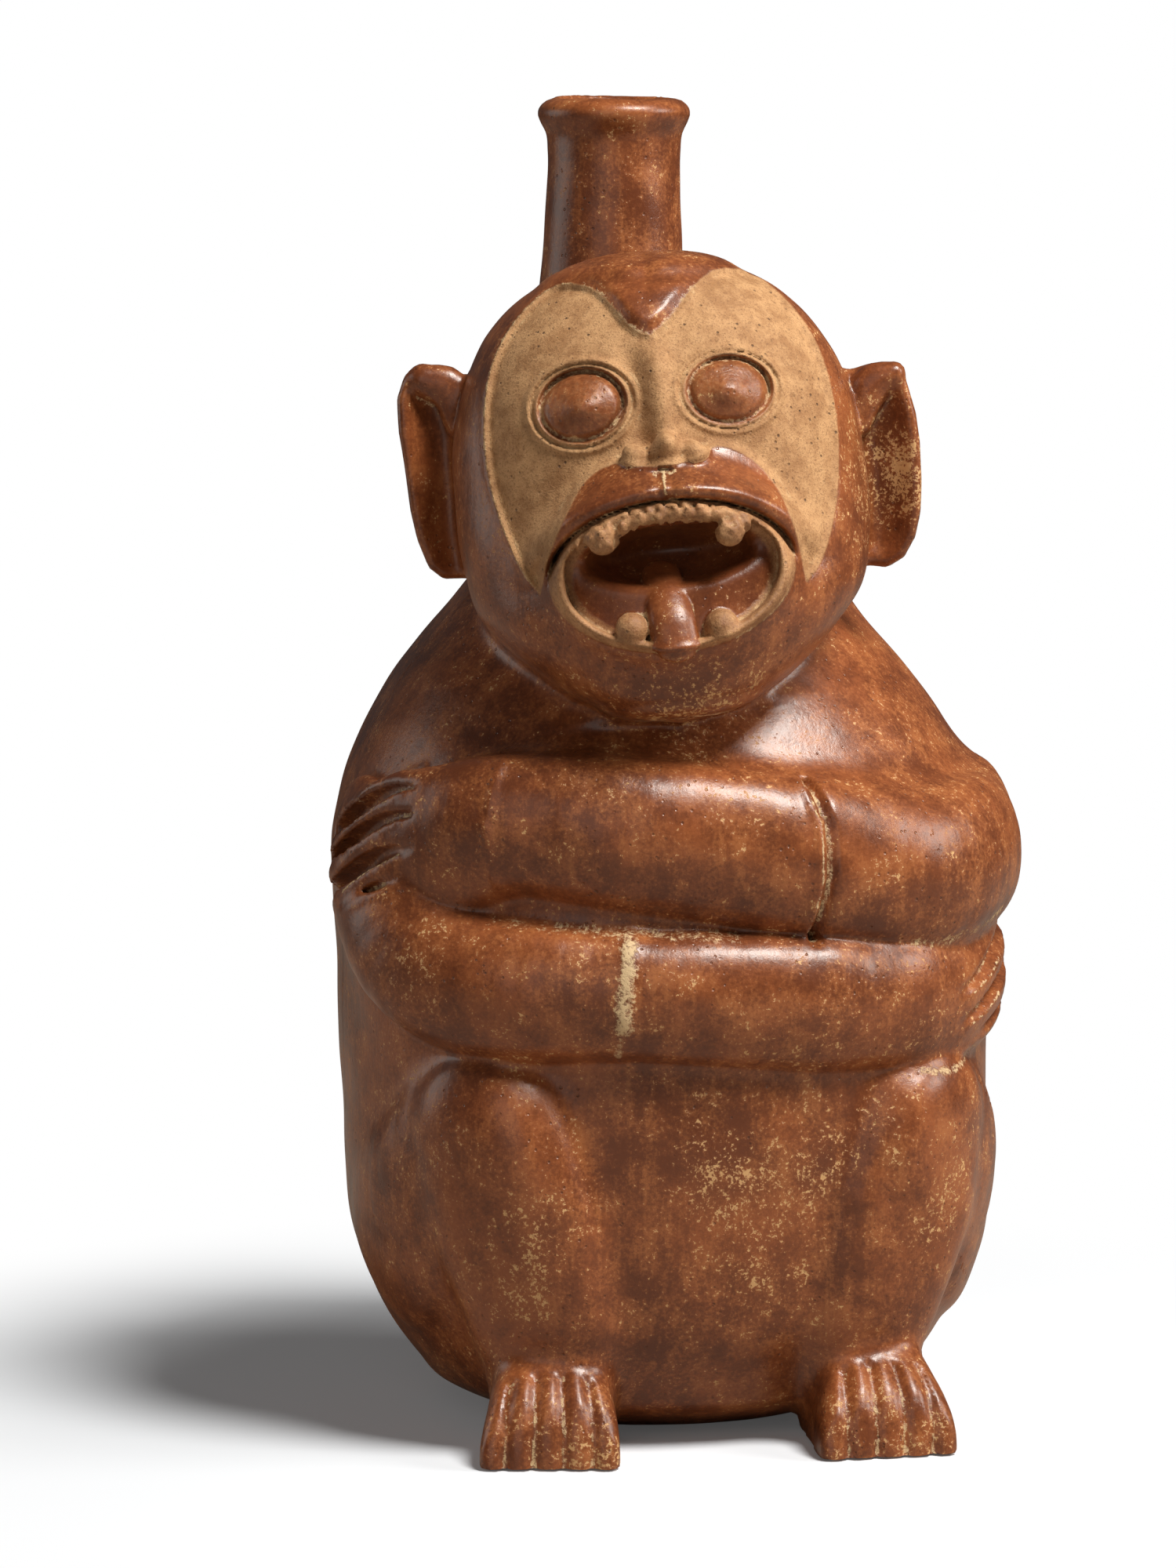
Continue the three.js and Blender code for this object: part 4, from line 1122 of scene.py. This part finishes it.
tube = block((-32, 14, 112), (26, 68, 243), 0.7)
skin(tube, "spout", "spout_skin", ["spout_tube", "spout_lip"])


# The clay's finish.
# The burnished red slip is satin, with worn specks and streaks of buff clay, pale deposit in its
# creases and a few dark pits; inside the mouth it is painted darker, as the mouth's shade. Where
# no slip was laid the clay is granular and matt.
class Wire:
    """One socket of a material's tree, with Python's operators as its maths"""

    def __init__(self, tree, socket=None):
        self.tree, self.socket = tree, socket

    def make(self, kind, settings=None, inputs=None, out=0):
        node = self.tree.nodes.new(kind)
        for name, value in (settings or {}).items():
            setattr(node, name, value)
        for name, value in (inputs or {}).items():
            if isinstance(value, Wire):
                self.tree.links.new(value.socket, node.inputs[name])
            else:
                node.inputs[name].default_value = value
        return Wire(self.tree, node.outputs[out])

    def maths(self, operation, first, second):
        return self.make("ShaderNodeMath", {"operation": operation}, {0: first, 1: second})

    def __add__(self, other):
        return self.maths("ADD", self, other)

    __radd__ = __add__

    def __sub__(self, other):
        return self.maths("SUBTRACT", self, other)

    def __rsub__(self, other):
        return self.maths("SUBTRACT", other, self)

    def __mul__(self, other):
        return self.maths("MULTIPLY", self, other)

    __rmul__ = __mul__

    def step(self, low, high):
        """0 below low and 1 above high, with a smooth rise between"""
        inputs = {"Value": self, "From Min": low, "From Max": high}
        return self.make("ShaderNodeMapRange", {"interpolation_type": "SMOOTHSTEP"}, inputs)

    def mix(self, first, second):
        """First colour where this is 0, and second where it is 1"""
        settings = {"data_type": "RGBA", "clamp_factor": True}
        return self.make("ShaderNodeMix", settings, {0: self, 6: first, 7: second}, 2)

    def noise(self, place, size, detail=3.0, roughness=0.6):
        """Uneven noise about 0.5, with features of about that size in millimetres"""
        inputs = {
            "Vector": place,
            "Scale": 1 / (size * MM),
            "Detail": detail,
            "Roughness": roughness,
        }
        return self.make("ShaderNodeTexNoise", {}, inputs)


def fired(red, green, blue):
    """A colour from the 0 to 255 of a paint chart"""
    shares = [v / 255 for v in (red, green, blue)]
    return (*(v / 12.92 if v <= 0.04045 else ((v + 0.055) / 1.055) ** 2.4 for v in shares), 1)


# the darkest slip tone, which is also the painted shade inside the mouth
DARK_SLIP_AND_MOUTH_SHADE = fired(100, 52, 28)
SLIP_RED = fired(146, 82, 45)
SLIP_WARM = fired(172, 108, 62)
CLAY_WORN = fired(214, 172, 118)
CLAY_BUFF = fired(192, 148, 102)
CLAY_SAND = fired(156, 112, 70)
GRAIN_DARK = fired(100, 64, 36)
DEPOSIT = fired(218, 192, 148)
PIT = fired(52, 32, 22)


def clay_material():
    material = bpy.data.materials.new("burnished_and_bare_clay")
    material.use_nodes = True
    tree = material.node_tree
    shader = tree.nodes["Principled BSDF"]
    start = Wire(tree)
    place = start.make("ShaderNodeTexCoord", out="Object")

    def read(note):
        return start.make("ShaderNodeAttribute", {"attribute_name": note}, out="Fac")

    bare, worn, deposit, inside = (read(n) for n in ("bare", "worn", "deposit", "inside"))
    ragged = start.noise(place, 0.9, 3)
    bare = (bare + (ragged - 0.5) * 0.5).step(0.15, 0.85)
    broad = start.noise(place, 26, 3)
    patchy = start.noise(place, 7, 4)
    middle = start.noise(place, 2.4, 4, 0.65)
    fine = start.noise(place, 0.7, 3, 0.7)
    brush_scale = (1 / (1.5 * MM), 1 / (1.5 * MM), 1 / (22 * MM))
    streak_place = start.make("ShaderNodeMapping", {}, {"Vector": place, "Scale": brush_scale})
    brush = {"Vector": streak_place, "Scale": 1.0, "Detail": 3.0}
    streak = start.make("ShaderNodeTexNoise", {}, brush)

    # the slip: cloudy, brushed upright, mottled, and specked where it has rubbed through
    cloud = broad * 0.35 + patchy * 0.3 + middle * 0.15 + fine * 0.2
    slip = cloud.step(0.4, 0.6).mix(DARK_SLIP_AND_MOUTH_SHADE, SLIP_RED)
    warmth = (patchy * 0.4 + fine * 0.35 + streak * 0.25).step(0.46, 0.66)
    slip = (warmth * 0.7).mix(slip, SLIP_WARM)
    # painted shade: inside the mouth the slip is darkened, as the mouth's shadow
    slip = (inside * 0.45).mix(slip, DARK_SLIP_AND_MOUTH_SHADE)
    level = fine * 0.48 + middle * 0.28 + patchy * 0.24
    rubbed = (level + worn * 0.1).step(0.575, 0.63)
    slip = (rubbed * 0.85).mix(slip, CLAY_WORN)
    crust = (fine * 0.4 + middle * 0.35 + deposit * 0.5 + worn * 0.05).step(0.62, 0.76)
    slip = (crust * 0.85).mix(slip, DEPOSIT)

    # the bare clay: sandy, with dark grains and pits
    grain = start.noise(place, 0.42, 3, 0.7)
    buff = (patchy * 0.5 + middle * 0.5).step(0.36, 0.62).mix(CLAY_SAND, CLAY_BUFF)
    buff = (grain.step(0.5, 0.66) * 0.5).mix(buff, GRAIN_DARK)
    buff = ((deposit * 0.55 + middle * 0.5).step(0.5, 0.8) * 0.6).mix(buff, DEPOSIT)
    cells = start.make("ShaderNodeTexVoronoi", {}, {"Vector": place, "Scale": 1 / (1.7 * MM)})
    pits = (1 - cells.step(0.08, 0.2)) * start.noise(place, 9, 2).step(0.46, 0.6)

    color = bare.mix(slip, buff)
    color = (pits * (0.4 + 0.3 * bare)).mix(color, PIT)
    tree.links.new(color.socket, shader.inputs["Base Color"])
    matt = start.maths("MAXIMUM", bare, start.maths("MAXIMUM", rubbed * 0.5, crust * 0.8))
    rough = 0.2 + 0.14 * patchy + 0.1 * fine + matt * 0.45
    tree.links.new(rough.socket, shader.inputs["Roughness"])

    relief = grain * (0.12 + bare * 0.9) + middle * (0.35 + bare * 0.5) - pits * (0.6 + bare * 0.9)
    relief = relief + crust * 0.5 - rubbed * 0.25 + streak * 0.25 + fine * 0.15
    height = {"Height": relief, "Strength": 0.6, "Distance": 0.3 * MM}
    tree.links.new(start.make("ShaderNodeBump", {}, height).socket, shader.inputs["Normal"])
    return material


clay_finish = clay_material()
for piece in skins:
    piece.data.materials.append(clay_finish)


# The floor and the light.
# The pot stands on white paper under a soft lamp, high on the right before it, and a weaker one
# at its side. A faint fill lights its front, and a faint panel the edge behind its left side.
LAMP_WHITE = (1, 0.955, 0.89)


def panel(name, around, above, away, size, power):
    """A round soft lamp, by degrees round from the front and above the floor, with its distance
    and size in metres and its power in watts"""
    lamp = bpy.data.objects.new(name, bpy.data.lights.new(name, "AREA"))
    bpy.context.collection.objects.link(lamp)
    lamp.data.shape, lamp.data.size, lamp.data.energy = "DISK", size, power
    lamp.data.color = LAMP_WHITE
    a, e = math.radians(around), math.radians(above)
    aim = Vector((0, 0, 0.12))
    way = Vector((math.cos(e) * math.sin(a), -math.cos(e) * math.cos(a), math.sin(e)))
    lamp.location = aim + away * way
    lamp.rotation_euler = way.to_track_quat("Z", "Y").to_euler()


panel("key_lamp", 40, 58, 1.25, 0.45, 22)
panel("side_lamp", 72, 26, 1.2, 0.5, 6)
panel("fill_lamp", -25, 16, 1.2, 0.9, 1.5)
panel("edge_lamp", -112, 12, 0.9, 0.6, 1.3)

world = bpy.data.worlds.new("studio")
bpy.context.scene.world = world
world.use_nodes = True
tree = world.node_tree
background = tree.nodes["Background"]
background.inputs["Color"].default_value = (1, 1, 1, 1)
seen = Wire(tree).make("ShaderNodeLightPath", out="Is Camera Ray")
mirrored = Wire(tree).make("ShaderNodeLightPath", out="Is Glossy Ray")
tree.links.new((0.01 + 0.99 * seen + 0.05 * mirrored).socket, background.inputs["Strength"])

bpy.ops.mesh.primitive_plane_add(size=8, location=(0, 0, -0.0002))
floor = bpy.context.object
floor.name = "floor"
paper = bpy.data.materials.new("white_paper")
paper.use_nodes = True
tree = paper.node_tree
shader = tree.nodes["Principled BSDF"]
shader.inputs["Roughness"].default_value = 0.9
shader.inputs["Specular IOR Level"].default_value = 0.1
start = Wire(tree)
seen = start.make("ShaderNodeLightPath", out="Is Camera Ray")
tone = seen.mix(fired(168, 158, 148), fired(230, 236, 244))
tree.links.new(tone.socket, shader.inputs["Base Color"])
place = start.make("ShaderNodeTexCoord", out="Object")
reach = start.make("ShaderNodeVectorMath", {"operation": "LENGTH"}, {0: place}, 1)
glow = start.make("ShaderNodeEmission", {}, {"Color": (1, 1, 1, 1), "Strength": 1.0})
share = seen * (0.05 + 0.95 * reach.step(0.09, 0.2))
mixed = start.make("ShaderNodeMixShader", {}, {0: share, 1: Wire(tree, shader.outputs[0]), 2: glow})
tree.links.new(mixed.socket, tree.nodes["Material Output"].inputs["Surface"])
floor.data.materials.append(paper)
